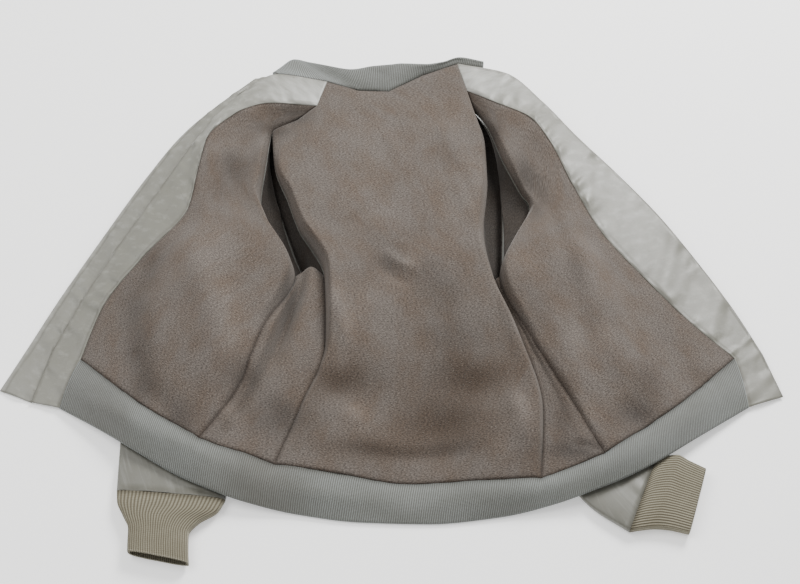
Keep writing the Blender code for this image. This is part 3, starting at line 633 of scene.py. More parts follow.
def raisedGrid(grid, finer, edgeRows=None):
    # The grid lifted by the long folds, which fade out over its first and last two columns.
    last = grid.shape[1] - 1
    columns = np.arange(last + 1)
    share = np.minimum(np.minimum(columns, last - columns) / finer, 2) / 2
    share = np.broadcast_to(share, grid.shape[:2])
    if edgeRows is not None:
        share = share * edgeRows[:, None]
    grid = grid.copy()
    grid[..., 2] += share * foldHeights(grid, form["folds"])
    return grid


def frontGrids(table):
    outer, inner, middle, foot = (np.array([row[k] for row in table], float) for k in (0, 1, 2, 4))
    crest = crestOf(foot, middle, [row[3] for row in table])
    shares = np.linspace(0, 1, form["facingColumns"] * form["facingFiner"] + 1)[None, :, None]
    facing = outer[:, None] + (inner - outer)[:, None] * shares
    across = stepPlaces([n * form["liningFiner"] for n in form["liningColumns"]])
    lining = smoothAlong(np.stack([inner, middle, crest, foot]), across).transpose(1, 0, 2)
    rows = stepPlaces([form["sectionRows"] * rowFiner] * (len(table) - 1))
    return smoothAlong(facing, rows), raisedGrid(smoothAlong(lining, rows), form["liningFiner"])


def backGrid(rightFoot):
    rows = []
    finer = form["backFiner"]
    across = stepPlaces([n * finer for n in form["backColumns"]])
    for right, rightCrest, middleHeight, bow, leftCrest, left in form["back"]:
        right, left = np.array(right, float), np.array(left, float)
        centre = (right + left) / 2
        centre = np.array([centre[0], centre[1] - bow, middleHeight])
        rolledRight, rolledLeft = crestOf(right, centre, rightCrest), crestOf(left, centre, leftCrest)
        innerRight = rolledRight + (centre - rolledRight) * 0.45
        innerLeft = rolledLeft + (centre - rolledLeft) * 0.45
        rows.append(smoothAlong([right, rolledRight, innerRight, centre, innerLeft, rolledLeft, left], across))
    corner = (len(form["rightFront"]) - 2) * form["sectionRows"]
    startColumn = form["backTop"][0][0]
    places = (corner + np.arange(startColumn * finer) / finer) * rowFiner
    top = list(linearAlong(rightFoot, places))
    for (start, a), (end, b) in zip(form["backTop"], form["backTop"][1:]):
        a, b, count = np.array(a, float), np.array(b, float), (end - start) * finer
        top += [a + (b - a) * k / count for k in range(count)]
    rows.append(np.array(top + [np.array(form["backTop"][-1][1], float)]))
    grid = smoothAlong(np.array(rows), stepPlaces([form["sectionRows"] * rowFiner] * (len(rows) - 1)))
    last = len(grid) - 1
    return raisedGrid(grid, finer, np.minimum(1, (last - np.arange(last + 1)) / (2 * rowFiner)))


def sideGrid(table, frontFoot, backFoot):
    stations = smoothAlong(table, np.arange(len(frontFoot)) / (form["sectionRows"] * rowFiner))
    across = stepPlaces([n * form["sideFiner"] for n in form["sideColumns"]])
    rows = []
    for front, back, (brow, browHeight, valley, valleyHeight, ridge, ridgeHeight, lift) in zip(
        frontFoot, backFoot, stations
    ):
        profile = [(0, front[2]), (brow, browHeight), (valley, valleyHeight), (ridge, ridgeHeight),
                   (1, back[2])]
        found = smoothAlong(profile, across)
        row = front + (back - front) * found[:, :1]
        row[:, 1] += lift * np.sin(np.pi * found[:, 0])
        row[:, 2] = found[:, 1]
        rows.append(row)
    return np.array(rows)


rightFacing, rightLining = frontGrids(form["rightFront"])
leftFacing, leftLining = frontGrids(form["leftFront"])
back = backGrid(rightLining[:, -1])
armRow = (len(form["rightSide"]) - 1) * form["sectionRows"] * rowFiner
rightSide = sideGrid(form["rightSide"], rightLining[: armRow + 1, -1], back[: armRow + 1, 0])
leftSide = sideGrid(form["leftSide"], leftLining[: armRow + 1, -1], back[: armRow + 1, -1])
print("forms worked out")


# Lining and shell panels

bodyCloth = {
    "creases": (  # a line in plan, how wide, how high
        (((-20, 215), (4, 160)), 7, 1.6), (((-62, 60), (-30, 96)), 9, -1.6),
        (((-160, 220), (-185, 173), (-208, 119), (-218, 89)), 11, -4.5),
        (((-240, 43), (-224, -6), (-203, -65), (-186, -106)), 16, 3.5),
        (((-275, 25), (-298, -36), (-296, -94)), 17, -4.5),
        (((-296, -99), (-272, -146), (-231, -190)), 15, -4.5),
        (((-174, -118), (-160, -149)), 12, -3.5), (((-188, -171), (-172, -194)), 10, 3.5),
        (((-112, -18), (-128, -72), (-143, -113)), 7, -3.0), (((-147, -160), (-114, -186)), 14, -4.0),
        (((-72, -27), (-60, -77), (-52, -103)), 9, 3.5), (((-95, -124), (-67, -140), (-39, -130)), 15, -5.0),
        (((-58, -165), (-42, -186)), 11, 4.0), (((-18, 32), (-2, 18), (18, 7)), 6, 3.2),
        (((-27, 18), (-9, 1), (11, -10)), 7, -3.2), (((33, -119), (76, -138), (107, -150)), 20, -4.5),
        (((21, -184), (69, -187)), 20, -3.0), (((116, -153), (127, -184), (128, -210)), 10, 5.0),
        (((-63, -212), (0, -217), (73, -217)), 8, -2.0), (((68, 158), (82, 106), (96, 65)), 7, -2.2),
        (((112, -32), (123, -77), (132, -119)), 8, 2.5),
        (((187, 102), (209, 13), (219, -75), (229, -125)), 13, 3.2),
        (((172, 94), (188, 13), (199, -75)), 9, -2.2),
        (((254, -35), (262, -90), (266, -145)), 14, -3.0), (((226, -75), (239, -134)), 8, 1.8),
        (((230, -160), (254, -181), (270, -184)), 12, -4.0), (((150, 153), (157, 122), (172, 92)), 9, -3.0),
        (((179, -209), (197, -212), (209, -219)), 4, -2.0), (((-236, 216), (-207, 232), (-173, 232)), 8, 2.0),
    ),
    "stains": (  # x, y, long and short radius, turn, strength
        (76, -134, 47, 25, 0, 0.75), (43, -184, 56, 23, 0, 0.85), (-26, -210, 52, 14, 0, 0.6),
        (-69, -138, 34, 19, 0, 0.5), (169, 102, 14, 28, 0, 0.3), (-76, -120, 18, 22, 0, 0.4),
        (117, -32, 11, 41, 0, 0.2),
    ),
    "tones": (  # painted shade in the hollows, and painted light on the ridges
        (-281, 16, 16, 33, 0, -0.3), (-297, -41, 18, 33, 0, -0.34), (-285, -93, 18, 33, 0, -0.36),
        (-276, -144, 17, 22, 0, -0.42), (-233, -185, 17, 19, 0, -0.38), (-152, 215, 23, 12, 0, -0.5),
        (-123, 235, 18, 12, 0, -0.4), (-189, 147, 20, 22, 0, -0.34), (-208, 113, 16, 19, 0, -0.2),
        (-208, 9, 29, 30, 0, 0.22), (-190, -44, 25, 33, 0, 0.2), (-182, -94, 18, 22, 0, 0.2),
        (-181, -185, 15, 15, 0, 0.26), (-168, -139, 19, 17, 0, -0.42), (-127, -181, 34, 21, 0, -0.48),
        (-123, -32, 9, 30, 0, -0.4), (-69, -138, 36, 17, 0, -0.42), (-60, -79, 10, 30, 0, 0.34),
        (-72, -35, 9, 17, 0, 0.24), (14, 18, 10, 12, 0, 0.22), (-17, 18, 16, 14, 0, -0.16),
        (58, -29, 18, 28, 0, -0.12), (55, -81, 34, 19, 0, -0.18), (70, -134, 50, 25, 0, -0.34),
        (43, -181, 54, 23, 0, -0.38), (-26, -212, 52, 12, 0, -0.44), (53, -210, 34, 12, 0, -0.36),
        (127, -181, 15, 25, 0, 0.34), (-47, -175, 15, 17, 0, 0.24), (110, -212, 14, 11, 0, 0.15),
        (64, 106, 27, 55, 0, 0.1), (112, 210, 12, 18, 0, -0.45), (146, 138, 15, 28, 0, -0.5),
        (158, 93, 11, 21, 0, -0.4), (135, 12, 16, 19, 0, 0.16), (211, -36, 16, 28, 0, 0.16),
        (192, -88, 11, 19, 0, 0.2), (222, -88, 10, 19, 0, 0.22), (194, -129, 16, 17, 0, 0.16),
        (263, -139, 17, 21, 0, -0.28), (249, -176, 25, 17, 0, -0.46), (182, -217, 34, 12, 0, -0.5),
        (171, -181, 10, 28, 0, -0.3), (202, -175, 11, 17, 0, 0.12), (326, -121, 23, 11, 0, -0.2),
    ),
    "seamDip": 0.9, "seamWidth": 2.6,
}
underCreases = (
    (((-200, 120), (-120, -40)), 12, 2.0), (((180, 100), (120, -60)), 12, 2.0),
    (((-60, 200), (60, 180)), 14, 1.6),
)


def ridgesBesideSeam(distance, along, reach, height, spacing, seed):
    # Small puckers that run off a stitched seam.
    return height * unevenWave(along, spacing, seed) * np.exp(-((distance / reach) ** 2))


def creasedBase(base, slopes):
    # The grid with its creases, kept high enough for the layers below it.
    base = base.copy()
    base[..., 2] += creaseHeights(base, bodyCloth["creases"])
    base[..., 2] = np.maximum(base[..., 2], depthBelow / slopes + 0.5)
    return base


def panelPieces(name, node, grid, seed, slopes=None, freeSides=()):
    # A panel's lining, with its creases, sunk seams and puckers.
    slopes = slopesOf(grid) if slopes is None else slopes
    base = drawnIn(grid, gapWidth / 2)
    base = creasedBase(base, slopes)
    borders = gridDistances(grid)
    near = np.minimum.reduce([d for k, d in enumerate(borders) if k not in freeSides])
    upper = base.copy()
    upper[..., 2] -= bodyCloth["seamDip"] * np.exp(-((near / bodyCloth["seamWidth"]) ** 2))
    upper[..., 2] += ridgesBesideSeam(near, borders[0] + 0.3 * borders[2], 9, 0.55, 13, seed)
    marks = {
        "stain": spot(base, bodyCloth["stains"]).clip(0, 1),
        # Painted shade along the panel's seams.
        "groove": np.exp(-((near / 2.2) ** 2)) * 0.8,
        # Painted shade in the hollows and painted light on the ridges of the lining.
        "tone": spot(base, bodyCloth["tones"]),
    }
    lower = lowered(base, layerDepths["lining"], slopes)
    lining = makeCloth("lining" + name, "lining_" + node, "lining", upper, lower, marks)
    return lining, upper, base, slopes


def shellPiece(name, node, base, slopes, seed):
    # The outer cloth under a panel, on every second point of its grid.
    thick = layerDepths["lining"] + gapWidth
    base, slopes = base[::2, ::2], slopes[::2, ::2]
    lower = lowered(base, thick + layerDepths["shell"], slopes)
    borders = gridDistances(base)
    near = np.minimum.reduce(borders)
    dip = creaseHeights(lower, underCreases)
    dip = dip + ridgesBesideSeam(near, borders[0] + borders[2], 9, 0.6, 12, seed)
    seam = 0.5 * np.exp(-((near / 3) ** 2))
    lower[..., 2] = np.maximum(lower[..., 2] - np.clip(dip, -0.6, 3.0) + seam, 0.6)
    # Painted shade along the shell's seams.
    marks = {"stain": 0 * near, "groove": np.exp(-((near / 3.5) ** 2)) * 0.6, "pale": 0 * near}
    piece = makeCloth("shell" + name, "shell_" + node, "shell", lowered(base, thick, slopes), lower, marks)
    return piece, lower


sheets = []


def buildFront(side, facing, lining, seed):
    node = side.lower()
    both = np.concatenate([facing[:, :-1], lining], axis=1)
    slopes = slopesOf(both)
    edge = facing.shape[1] - 1
    piece, upper, base, _ = panelPieces("Front" + side, "front_" + node, lining, seed, slopes[:, edge:])
    wholeBase = drawnIn(both, gapWidth / 2)
    wholeBase = creasedBase(wholeBase, slopes)
    shell, shellLower = shellPiece("Front" + side, "front_" + node, wholeBase, slopes, seed + 50)
    sheets.append((piece, upper, ("shellFront" + side,)))
    sheets.append((shell, shellLower, ("sleeve" + side,)))


buildFront("Right", rightFacing, rightLining, 11)
buildFront("Left", leftFacing, leftLining, 12)
for name, node, grid, seed, under in (
    ("Back", "back", back, 13, ("sleeveRight", "sleeveLeft")),
    ("SideRight", "side_right", rightSide, 14, ("sleeveRight",)),
    ("SideLeft", "side_left", leftSide, 15, ("sleeveLeft",)),
):
    piece, upper, base, slopes = panelPieces(name, node, grid, seed)
    shell, shellLower = shellPiece(name, node, base, slopes, seed + 50)
    sheets += [(piece, upper, ("shell" + name,)), (shell, shellLower, under)]
print("linings and shells made")


# Facings, wind flap, tapes

facingCloth = {
    "puckerHeight": 2.6, "puckerSpacing": 11.0, "puckerReach": 15.0,
    # Painted highlights at the two neck ends, and a weaker pale spot on the right facing: x, y, long and short
    # radius, turn, strength.
    "pale": ((-120, 270, 60, 40, 0, 0.9), (95, 290, 50, 40, 0, 0.9), (-215, 215, 40, 30, 60, 0.35)),
    "stains": ((176, 190, 5, 3, 0, 0.7), (186, 160, 6, 3, 40, 0.7)),
}


def puckered(grid, seed, height, reach, spacing):
    # Puckers across a narrow piece, strongest at its two stitched edges.
    rows, _, columns, rest = gridDistances(grid)
    near = np.minimum(columns, rest)
    along = rows + 0.45 * columns
    lift = unevenWave(along, spacing, seed) * np.exp(-((columns / reach) ** 2))
    lift += unevenWave(rows - 0.35 * rest, spacing * 0.9, seed + 1) * np.exp(-((rest / reach) ** 2))
    lift += 0.6 * unevenWave(rows + 0.9 * columns, spacing * 2.3, seed + 2)
    return height * lift * np.clip(near / 3, 0, 1)


def buildFacing(side, facing, lining, tab, seed):
    tab = np.array(tab, float)
    edge = facing.shape[1] - 1
    low = tab[0] + (tab[1] - tab[0]) * np.linspace(0, 1, edge + 1)[:, None]
    count = 2 * rowFiner
    extra = [low + (facing[0] - low) * k / count for k in range(count)]
    grid = np.concatenate([np.array(extra), facing])
    slopes = slopesOf(np.concatenate([facing[:, :-1], lining], axis=1))[:, : edge + 1]
    slopes = np.concatenate([np.repeat(slopes[:1], count, axis=0), slopes])
    base = drawnIn(grid, gapWidth / 2)
    creased = creasedBase(base, slopes)
    upper = creased.copy()
    lift = puckered(grid, seed, facingCloth["puckerHeight"], facingCloth["puckerReach"],
                    facingCloth["puckerSpacing"])
    upper[..., 2] += np.maximum(lift, -1.1)
    _, _, columns, rest = gridDistances(grid)
    seam = np.exp(-(((rest - 3.0) / 1.3) ** 2))
    upper[..., 2] -= 0.55 * seam
    marks = {
        "stain": spot(base, facingCloth["stains"]).clip(0, 1),
        # Painted shade along the stitched seam line and the facing's outer edge.
        "groove": np.clip(0.55 * seam + 0.5 * np.exp(-((columns / 2.0) ** 2)), 0, 1),
        # Painted highlights at the neck ends.
        "pale": spot(base, facingCloth["pale"]).clip(0, 1),
    }
    piece = makeCloth("facing" + side, "facing_" + side.lower(), "shell", upper,
                      lowered(creased, layerDepths["lining"], slopes), marks, bulge=0.5)
    sheets.append((piece, upper, ("shellFront" + side,)))


buildFacing("Right", rightFacing, rightLining, form["rightTab"], 21)
buildFacing("Left", leftFacing, leftLining, form["leftTab"], 31)

flapCloth = {
    "edge": ((-436, -133, 3), (-412, -77, 6), (-388, -21, 10), (-351, 54, 18), (-302, 146, 30),
             (-266, 203, 38), (-224, 250, 43), (-181, 296, 42)),
    "drop": 1.5, "columns": 20, "puckerHeight": 2.0,
}


def buildFlap(facing):
    tab = np.array(form["rightTab"][0], float)
    start = facing[0, 0]
    count = 2 * rowFiner
    lead = [tab + (start - tab) * k / count for k in range(count)]
    seam = np.concatenate([np.array(lead), facing[: 7 * form["sectionRows"] * rowFiner + 1, 0]])
    edge = smoothAlong(flapCloth["edge"], np.arange(8 * (len(flapCloth["edge"]) - 1) + 1) / 8)
    lengths = arcLengths(seam)
    outer = atShares(edge, lengths / lengths[-1])
    tucked = seam.copy()
    tucked[:, 2] = np.maximum(seam[:, 2] - flapCloth["drop"], 3.0)
    shares = np.linspace(0, 1, flapCloth["columns"] + 1)[None, :, None]
    grid = outer[:, None] + (tucked - outer)[:, None] * shares
    slopes = slopesOf(grid)
    base = drawnIn(grid, gapWidth / 2)
    upper = base.copy()
    lift = puckered(grid, 41, flapCloth["puckerHeight"], 14, 9)
    _, _, columns, rest = gridDistances(grid)
    seamLine = np.exp(-(((columns - 5.5) / 1.1) ** 2))
    upper[..., 2] += np.maximum(lift, -1.0) - 0.5 * seamLine
    # Painted shade along the stitched line and where the flap tucks under the facing.
    marks = {"stain": 0 * columns, "groove": 0.5 * seamLine + 0.35 * np.exp(-((rest / 3) ** 2)),
             "pale": 0.15 + 0.35 * np.exp(-((columns / 3) ** 2))}
    lower = lowered(base, layerDepths["flap"], slopes)
    piece = makeCloth("windFlap", "wind_flap", "shell", upper, lower, marks, bulge=0.6)
    sheets.append((piece, upper, ("facingRight", "shellFrontRight")))


buildFlap(rightFacing)

zipCloth = {"tapeWidth": 14.0, "tapeInset": 2.0, "tapeThick": 1.0}


def buildTape(side, facing, lining):
    rows = facing[: 6 * form["sectionRows"] * rowFiner + 1]
    outer, inner = rows[:, 0], rows[:, -1]
    width = np.linalg.norm((inner - outer)[:, :2], axis=1)[:, None]
    start = outer + (inner - outer) * zipCloth["tapeInset"] / width
    end = outer + (inner - outer) * np.minimum(0.9, (zipCloth["tapeInset"] + zipCloth["tapeWidth"]) / width)
    shares = np.linspace(0, 1, 7)[None, :, None]
    grid = start[:, None] + (end - start)[:, None] * shares
    slopes = slopesOf(facing)[: len(rows), :1] * np.ones((1, 7))
    under = layerDepths["lining"] + gapWidth + layerDepths["shell"] + gapWidth
    lower = lowered(grid, under + zipCloth["tapeThick"], slopes)
    piece = makeCloth("zipTape" + side, "zip_tape_" + side.lower(), "tape", lowered(grid, under, slopes),
                      lower, {"groove": 0 * slopes}, bulge=0.1)
    sheets.append((piece, lower, ("shellFront" + side,)))


buildTape("Right", rightFacing, rightLining)
buildTape("Left", leftFacing, leftLining)
print("facings, flap and tapes made")


# Waistband and collar

waistband = {
    "edge": ((-367, -156, 6), (-319, -186, 13), (-272, -218, 20), (-217, -250, 20), (-160, -270, 13),
             (-103, -281, 5), (-41, -289, 4), (30, -291, 4), (100, -284, 5), (160, -272, 12), (210, -256, 20), (260, -232, 20),
             (318, -193, 12), (376, -155, 6)),
    "bulge": 5.0, "rows": 44,
    "creases": ((((-340, -150), (-250, -205), (-170, -240)), 9, 1.6), (((-120, -262), (-20, -272)), 9, 1.2)),
}


def buildWaistband():
    hem = np.concatenate([rightLining[0], rightSide[0, 1:], back[0, 1:], leftSide[0, -2::-1],
                          leftLining[0, -2::-1]])
    keep = np.concatenate([[True], np.linalg.norm(np.diff(hem, axis=0), axis=1) > 0.05])
    hem = hem[keep]
    edge = smoothAlong(waistband["edge"], np.arange(8 * (len(waistband["edge"]) - 1) + 1) / 8)
    lengths = arcLengths(hem)
    shares = np.unique(np.concatenate([lengths / lengths[-1], np.linspace(0, 1, 420)]))
    top, bottom = atShares(hem, shares), atShares(edge, shares)
    k = np.linspace(0, 1, waistband["rows"] + 1)[:, None, None]
    grid = bottom + (top - bottom) * k
    grid[..., 2] += waistband["bulge"] * np.sin(np.pi * k[..., 0])
    slopes = slopesOf(grid)
    base = drawnIn(grid, gapWidth / 2)
    upper = base.copy()
    rows, rest, columns, _ = gridDistances(grid)
    pull = unevenWave(columns - 0.3 * rest, 9, 52) * np.exp(-((rest / 16) ** 2))
    wave = unevenWave(columns + 0.5 * rows, 46, 53) * np.sin(np.pi * k[..., 0])
    upper[..., 2] += 0.7 * pull + 1.1 * wave + creaseHeights(base, waistband["creases"])
    body = creaseHeights(base, bodyCloth["creases"]) * np.exp(-((rest / 14) ** 2))
    upper[..., 2] += body
    base[..., 2] += np.minimum(body, 0)
    upper[..., 2] -= 0.8 * np.exp(-((rest / 2.6) ** 2))
    total = lengths[-1]
    pattern = np.stack([np.broadcast_to(shares * total, rows.shape), rows], axis=-1)
    marks = {"stain": 0.3 * np.clip(unevenWave(columns, 90, 54), 0, 1),
             # Painted shade under the lining's hem, along the top of the band.
             "groove": np.exp(-((rest / 4) ** 2)) * 0.9,
             "pale": np.clip(0.25 + 0.5 * unevenWave(columns + rows, 70, 55), 0, 1)}
    lower = lowered(base, layerDepths["waistband"], slopes)
    piece = makeCloth("waistbandKnit", "waistband", "knit", upper, lower, marks, bulge=1.0, pattern=pattern)
    sheets.append((piece, upper, ("sleeveRight", "sleeveLeft")))


buildWaistband()

collarKnit = {
    "sections": (  # fold, how far back from it the free edge lies, and how far below
        ((-160, 309, 43), 3, 13), ((-134, 341, 34), 8, 20), ((-115, 334, 35), 10, 24), ((-62, 314, 43), 14, 35),
        ((-36, 318, 44), 16, 37), ((-12, 321, 44), 16, 37), ((3, 323, 44), 14, 37), ((18, 323, 44), 9, 36),
        ((32, 323, 44), 5, 34), ((54, 325, 45), 4, 30), ((76, 331, 47), 4, 24), ((105, 324, 47), 4, 18),
    ),
    "round": 4.5, "acrossFiner": 8,
}


def buildCollar():
    corner = (len(form["rightFront"]) - 2) * form["sectionRows"] * rowFiner
    columns = form["backFiner"]
    places = np.arange(11 * rowFiner + 1) / rowFiner
    neckBack = back[-1]
    neck = []
    for place in places:
        if place <= 2:
            neck.append(rightFacing[int(round(corner + place * rowFiner)), 0])
        elif place <= 10:
            neck.append(linearAlong(neckBack, [(place + 3) * columns])[0])
        else:
            neck.append(leftFacing[int(round((26 - place) * rowFiner)), 0])
    neck = np.array(neck)
    folds = smoothAlong([list(s[0]) + [s[1], s[2]] for s in collarKnit["sections"]], places)
    outerRows, innerRows = [], []
    for seam, (foldX, foldY, foldZ, backSet, drop) in zip(neck, folds):
        run = np.array([foldX, foldY]) - seam[:2]
        reach = np.linalg.norm(run)
        heading = run / reach
        low, rest = foldZ - collarKnit["round"], drop - collarKnit["round"]
        stations = np.array([
            (gapWidth, seam[2]), (0.4 * reach, seam[2] + 0.55 * (foldZ - seam[2])),
            (max(reach - collarKnit["round"], 0.6 * reach), foldZ), (reach, low),
            (reach - 0.1 * backSet, low - 0.4 * rest), (reach - 0.45 * backSet, low - 0.75 * rest),
            (reach - backSet, low - rest),
        ])
        curve = smoothAlong(stations, stepPlaces([collarKnit["acrossFiner"]] * 6))
        tangent = np.gradient(curve, axis=0)
        tangent[0] = (1, 0)
        tangent /= np.linalg.norm(tangent, axis=1, keepdims=True)
        inner = curve + layerDepths["collar"] * np.stack([tangent[:, 1], -tangent[:, 0]], axis=1)
        for line, found in ((curve, outerRows), (inner, innerRows)):
            found.append(np.column_stack([seam[:2] + heading * line[:, :1], line[:, 1]]))
    outer, inner = np.array(outerRows), np.array(innerRows)
    rows, _, columnsAway, _ = gridDistances(outer)
    lift = 0.7 * unevenWave(rows, 12, 61) * np.exp(-((columnsAway / 7) ** 2))
    lift += 0.9 * unevenWave(rows + 0.8 * columnsAway, 30, 62) * np.clip(columnsAway / 12, 0, 1)
    outer[..., 2] += lift
    total = rows[:, :1].max()
    pattern = np.stack([np.broadcast_to(rows[:, 12:13], rows.shape), columnsAway], axis=-1)
    # Painted shade along the collar's seam at the neck.
    marks = {"stain": 0 * rows, "groove": np.exp(-((columnsAway / 3) ** 2)) * 0.8, "pale": 0.2 + 0 * rows}
    piece = makeCloth("collarKnit", "collar", "knit", outer, inner, marks, bulge=0.8, pattern=pattern)
    sheets.append((piece, outer, ("liningBack", "facingRight", "facingLeft")))


buildCollar()
print("waistband and collar made")


# Sleeves and cuffs

sleeveCloth = {
    "ringPoints": 110, "ringFiner": 6, "drop": 0.6, "armholeRings": 4, "armholeThick": 1.2,
    "right": (  # under the arm, over the arm, height of the middle, half the thickness, turn
        ((-104, 3), (-158, 204), 11.5, 11.5, -80), ((-102, -2), (-168, 202), 8.4, 8.0, -52),
        ((-100, -8), (-192, 196), 5.8, 5.5, -22), ((-100, -14), (-240, 168), 4.1, 4.1, 0),
        ((-103, -22), (-278, 120), 4.1, 4.1, 0), ((-108, -38), (-298, 58), 4.1, 4.1, 0),
        ((-119, -66), (-306, -18), 4.1, 4.1, 0), ((-137, -110), (-303, -90), 4.1, 4.1, 0),
        ((-156, -160), (-299, -150), 4.6, 4.6, 0), ((-171, -212), (-296, -205), 5.8, 5.8, 0),
        ((-180, -267), (-293, -257), 7.0, 7.0, 0),
    ),
    "left": (
        ((112, -1), (106, 246), 11.5, 12.5, 80), ((111, -5), (120, 244), 8.4, 8.0, 52),
        ((111, -10), (146, 235), 5.8, 5.5, 22), ((112, -16), (198, 194), 4.1, 4.1, 0),
        ((115, -24), (238, 140), 4.1, 4.1, 0), ((119, -38), (260, 72), 4.1, 4.1, 0),
        ((127, -66), (268, -4), 4.1, 4.1, 0), ((138, -113), (264, -82), 4.1, 4.1, 0),
        ((152, -172), (259, -146), 4.6, 4.6, 0), ((166, -226), (258, -186), 5.4, 5.4, 0),
        ((194, -272), (261, -206), 6.4, 6.4, 0), ((233, -302), (267, -223), 7.2, 7.2, 0),
    ),
}
cuffKnit = {
    "ringPoints": 320, "ringFiner": 10,
    "right": (
        ((-187, -281), (-291, -270), 7.6, 7.6, 0), ((-205, -293), (-284, -284), 8.0, 8.0, 0),
        ((-214, -306), (-276, -300), 8.4, 8.4, 0), ((-213, -322), (-275, -313), 8.6, 8.6, 0),
        ((-211, -338), (-274, -325), 8.6, 8.6, 0),
    ),
    "left": (
        ((247, -300), (278, -217), 7.6, 7.6, 0), ((259, -299), (291, -216), 8.0, 8.0, 0),
        ((272, -300), (303, -223), 8.2, 8.2, 0), ((293, -305), (319, -232), 8.2, 8.2, 0),
    ),
    "ribPitch": 2.9, "ribHeight": 0.22,
}


def ringPointsOf(section, count, thin=0.0):
    (x0, y0), (x1, y1), middle, half, turn = section
    centre = np.array([(x0 + x1) / 2, (y0 + y1) / 2, middle])
    longAxis = np.array([(x1 - x0) / 2, (y1 - y0) / 2, 0])
    width = np.linalg.norm(longAxis)
    longAxis = longAxis / width
    sideAxis = np.cross(longAxis, (0, 0, 1))
    angle = math.radians(turn)
    shortAxis = np.array([0, 0, math.cos(angle)]) + sideAxis * math.sin(angle)
    boxy = 0.45 + abs(turn) / 200
    phase = 2 * np.pi * np.arange(count) / count
    across = np.sin(phase)
    flat = np.copysign(np.minimum(1.0, 1.04 * np.abs(across) ** boxy), across)
    across = longAxis * np.cos(phase)[:, None] * (width - thin)
    return centre + across + shortAxis * flat[:, None] * (half - thin)


def armholeRing(frontEdge, sideEdge, backEdge, outward):
    # The sleeve's first ring, under the armhole's edges.
    count = sleeveCloth["ringPoints"]
    half = len(sideEdge) // 2
    down = np.concatenate([frontEdge[::-1], sideEdge[1 : half + 1]])
    up = np.concatenate([backEdge[::-1], sideEdge[-2 : half - 1 : -1]])
    points = []
    for k in range(count):
        share = (1 - math.cos(2 * math.pi * k / count)) / 2
        edge = down if 2 * k <= count else up
        near = np.clip(share + np.array([0, -0.07, -0.035, 0.035, 0.07]), 0, 1)
        found = atShares(edge, near)
        points.append((found[0, 0], found[0, 1], found[:, 2].min() - sleeveCloth["drop"]))
    points = np.array(points)
    turned = 1 if frontEdge[0][0] < 0 else -1
    run = np.roll(points, -1, axis=0) - np.roll(points, 1, axis=0)
    aside = np.column_stack([run[:, 1], -run[:, 0], 0 * run[:, 0]])
    aside /= np.maximum(np.linalg.norm(aside, axis=1, keepdims=True), 1e-9)
    return points + aside * outward * turned


def inwardOf(rings):
    # Directions from each ring's points into the tube.
    roundRun = np.roll(rings, -1, axis=1) - np.roll(rings, 1, axis=1)
    longRun = np.gradient(rings, axis=0)
    normal = np.cross(roundRun, longRun)
    normal /= np.maximum(np.linalg.norm(normal, axis=2, keepdims=True), 1e-9)
    centre = rings.mean(axis=1, keepdims=True)
    sign = np.sign(((centre - rings) * normal).sum(axis=2, keepdims=True))
    return normal * np.where(sign == 0, 1, sign)


sleeveCreases = {
    "Right": ((((-300, -200), (-240, -190), (-190, -215)), 7, 1.4), (((-290, -160), (-220, -150)), 9, -1.4),
              (((-285, -240), (-220, -232)), 5, 1.0)),
    "Left": ((((255, -180), (200, -230)), 7, 1.4), (((262, -205), (215, -270)), 5, -1.2)),
}


def buildSleeve(side, table, armhole):
    count = sleeveCloth["ringPoints"]
    first = armholeRing(*armhole, sleeveCloth["armholeThick"])
    coarse = np.array([first] + [ringPointsOf(s, count) for s in table])
    places = stepPlaces([sleeveCloth["ringFiner"]] * (len(coarse) - 1))
    outer = smoothAlong(coarse, places)
    inward = inwardOf(outer)
    thick = np.interp(places, [0, sleeveCloth["armholeRings"], sleeveCloth["armholeRings"] + 1],
                      [sleeveCloth["armholeThick"], sleeveCloth["armholeThick"], layerDepths["sleeve"]])
    inner = outer + inward * thick[:, None, None]
    inner[0] = armholeRing(*armhole, 0.0)
    inner[-1] = ringPointsOf(table[-1], count, layerDepths["sleeve"])
    top = np.clip(-inward[..., 2], 0, 1)
    fade = np.clip((places - 4) / 3, 0, 1)[:, None]
    rows, rest, columns, _ = gridDistances(outer)
    lift = creaseHeights(outer, sleeveCreases[side]) * top * fade
    ends = np.exp(-((rest / 14) ** 2)) * unevenWave(columns, 9, 71 if side == "Right" else 72) * 0.9
    lift = np.clip(lift + ends * top, -1.3, 2.0)
    outer = outer - inward * lift[..., None] * np.where(top > 0, 1, 0)[..., None]
    outer[..., 2] = np.maximum(outer[..., 2], 0.0)
    stitched = np.exp(-(((rest - 3.5) / 1.2) ** 2))
    # Painted shade along the stitched line and the seam at the cuff end.
    marks = {"stain": 0 * rows, "groove": np.clip(0.5 * stitched + np.exp(-((rest / 2) ** 2)) * 0.5, 0, 1),
             "pale": 0 * rows}
    # Painted shade: the sleeve is darkened strongly over its first rings by the armhole and a little over the
    # rest; it works on both faces, so the outer cotton near the armhole is painted near black too.
    marks["tone"] = np.where(places[:, None] < 7, -0.75, -0.2) + 0 * rows
    piece = makeCloth("sleeve" + side, "sleeve_" + side.lower(), "shell", outer, inner, marks, closed=True,
                      inside="lining")
    sheets.append((piece, outer, (), True))


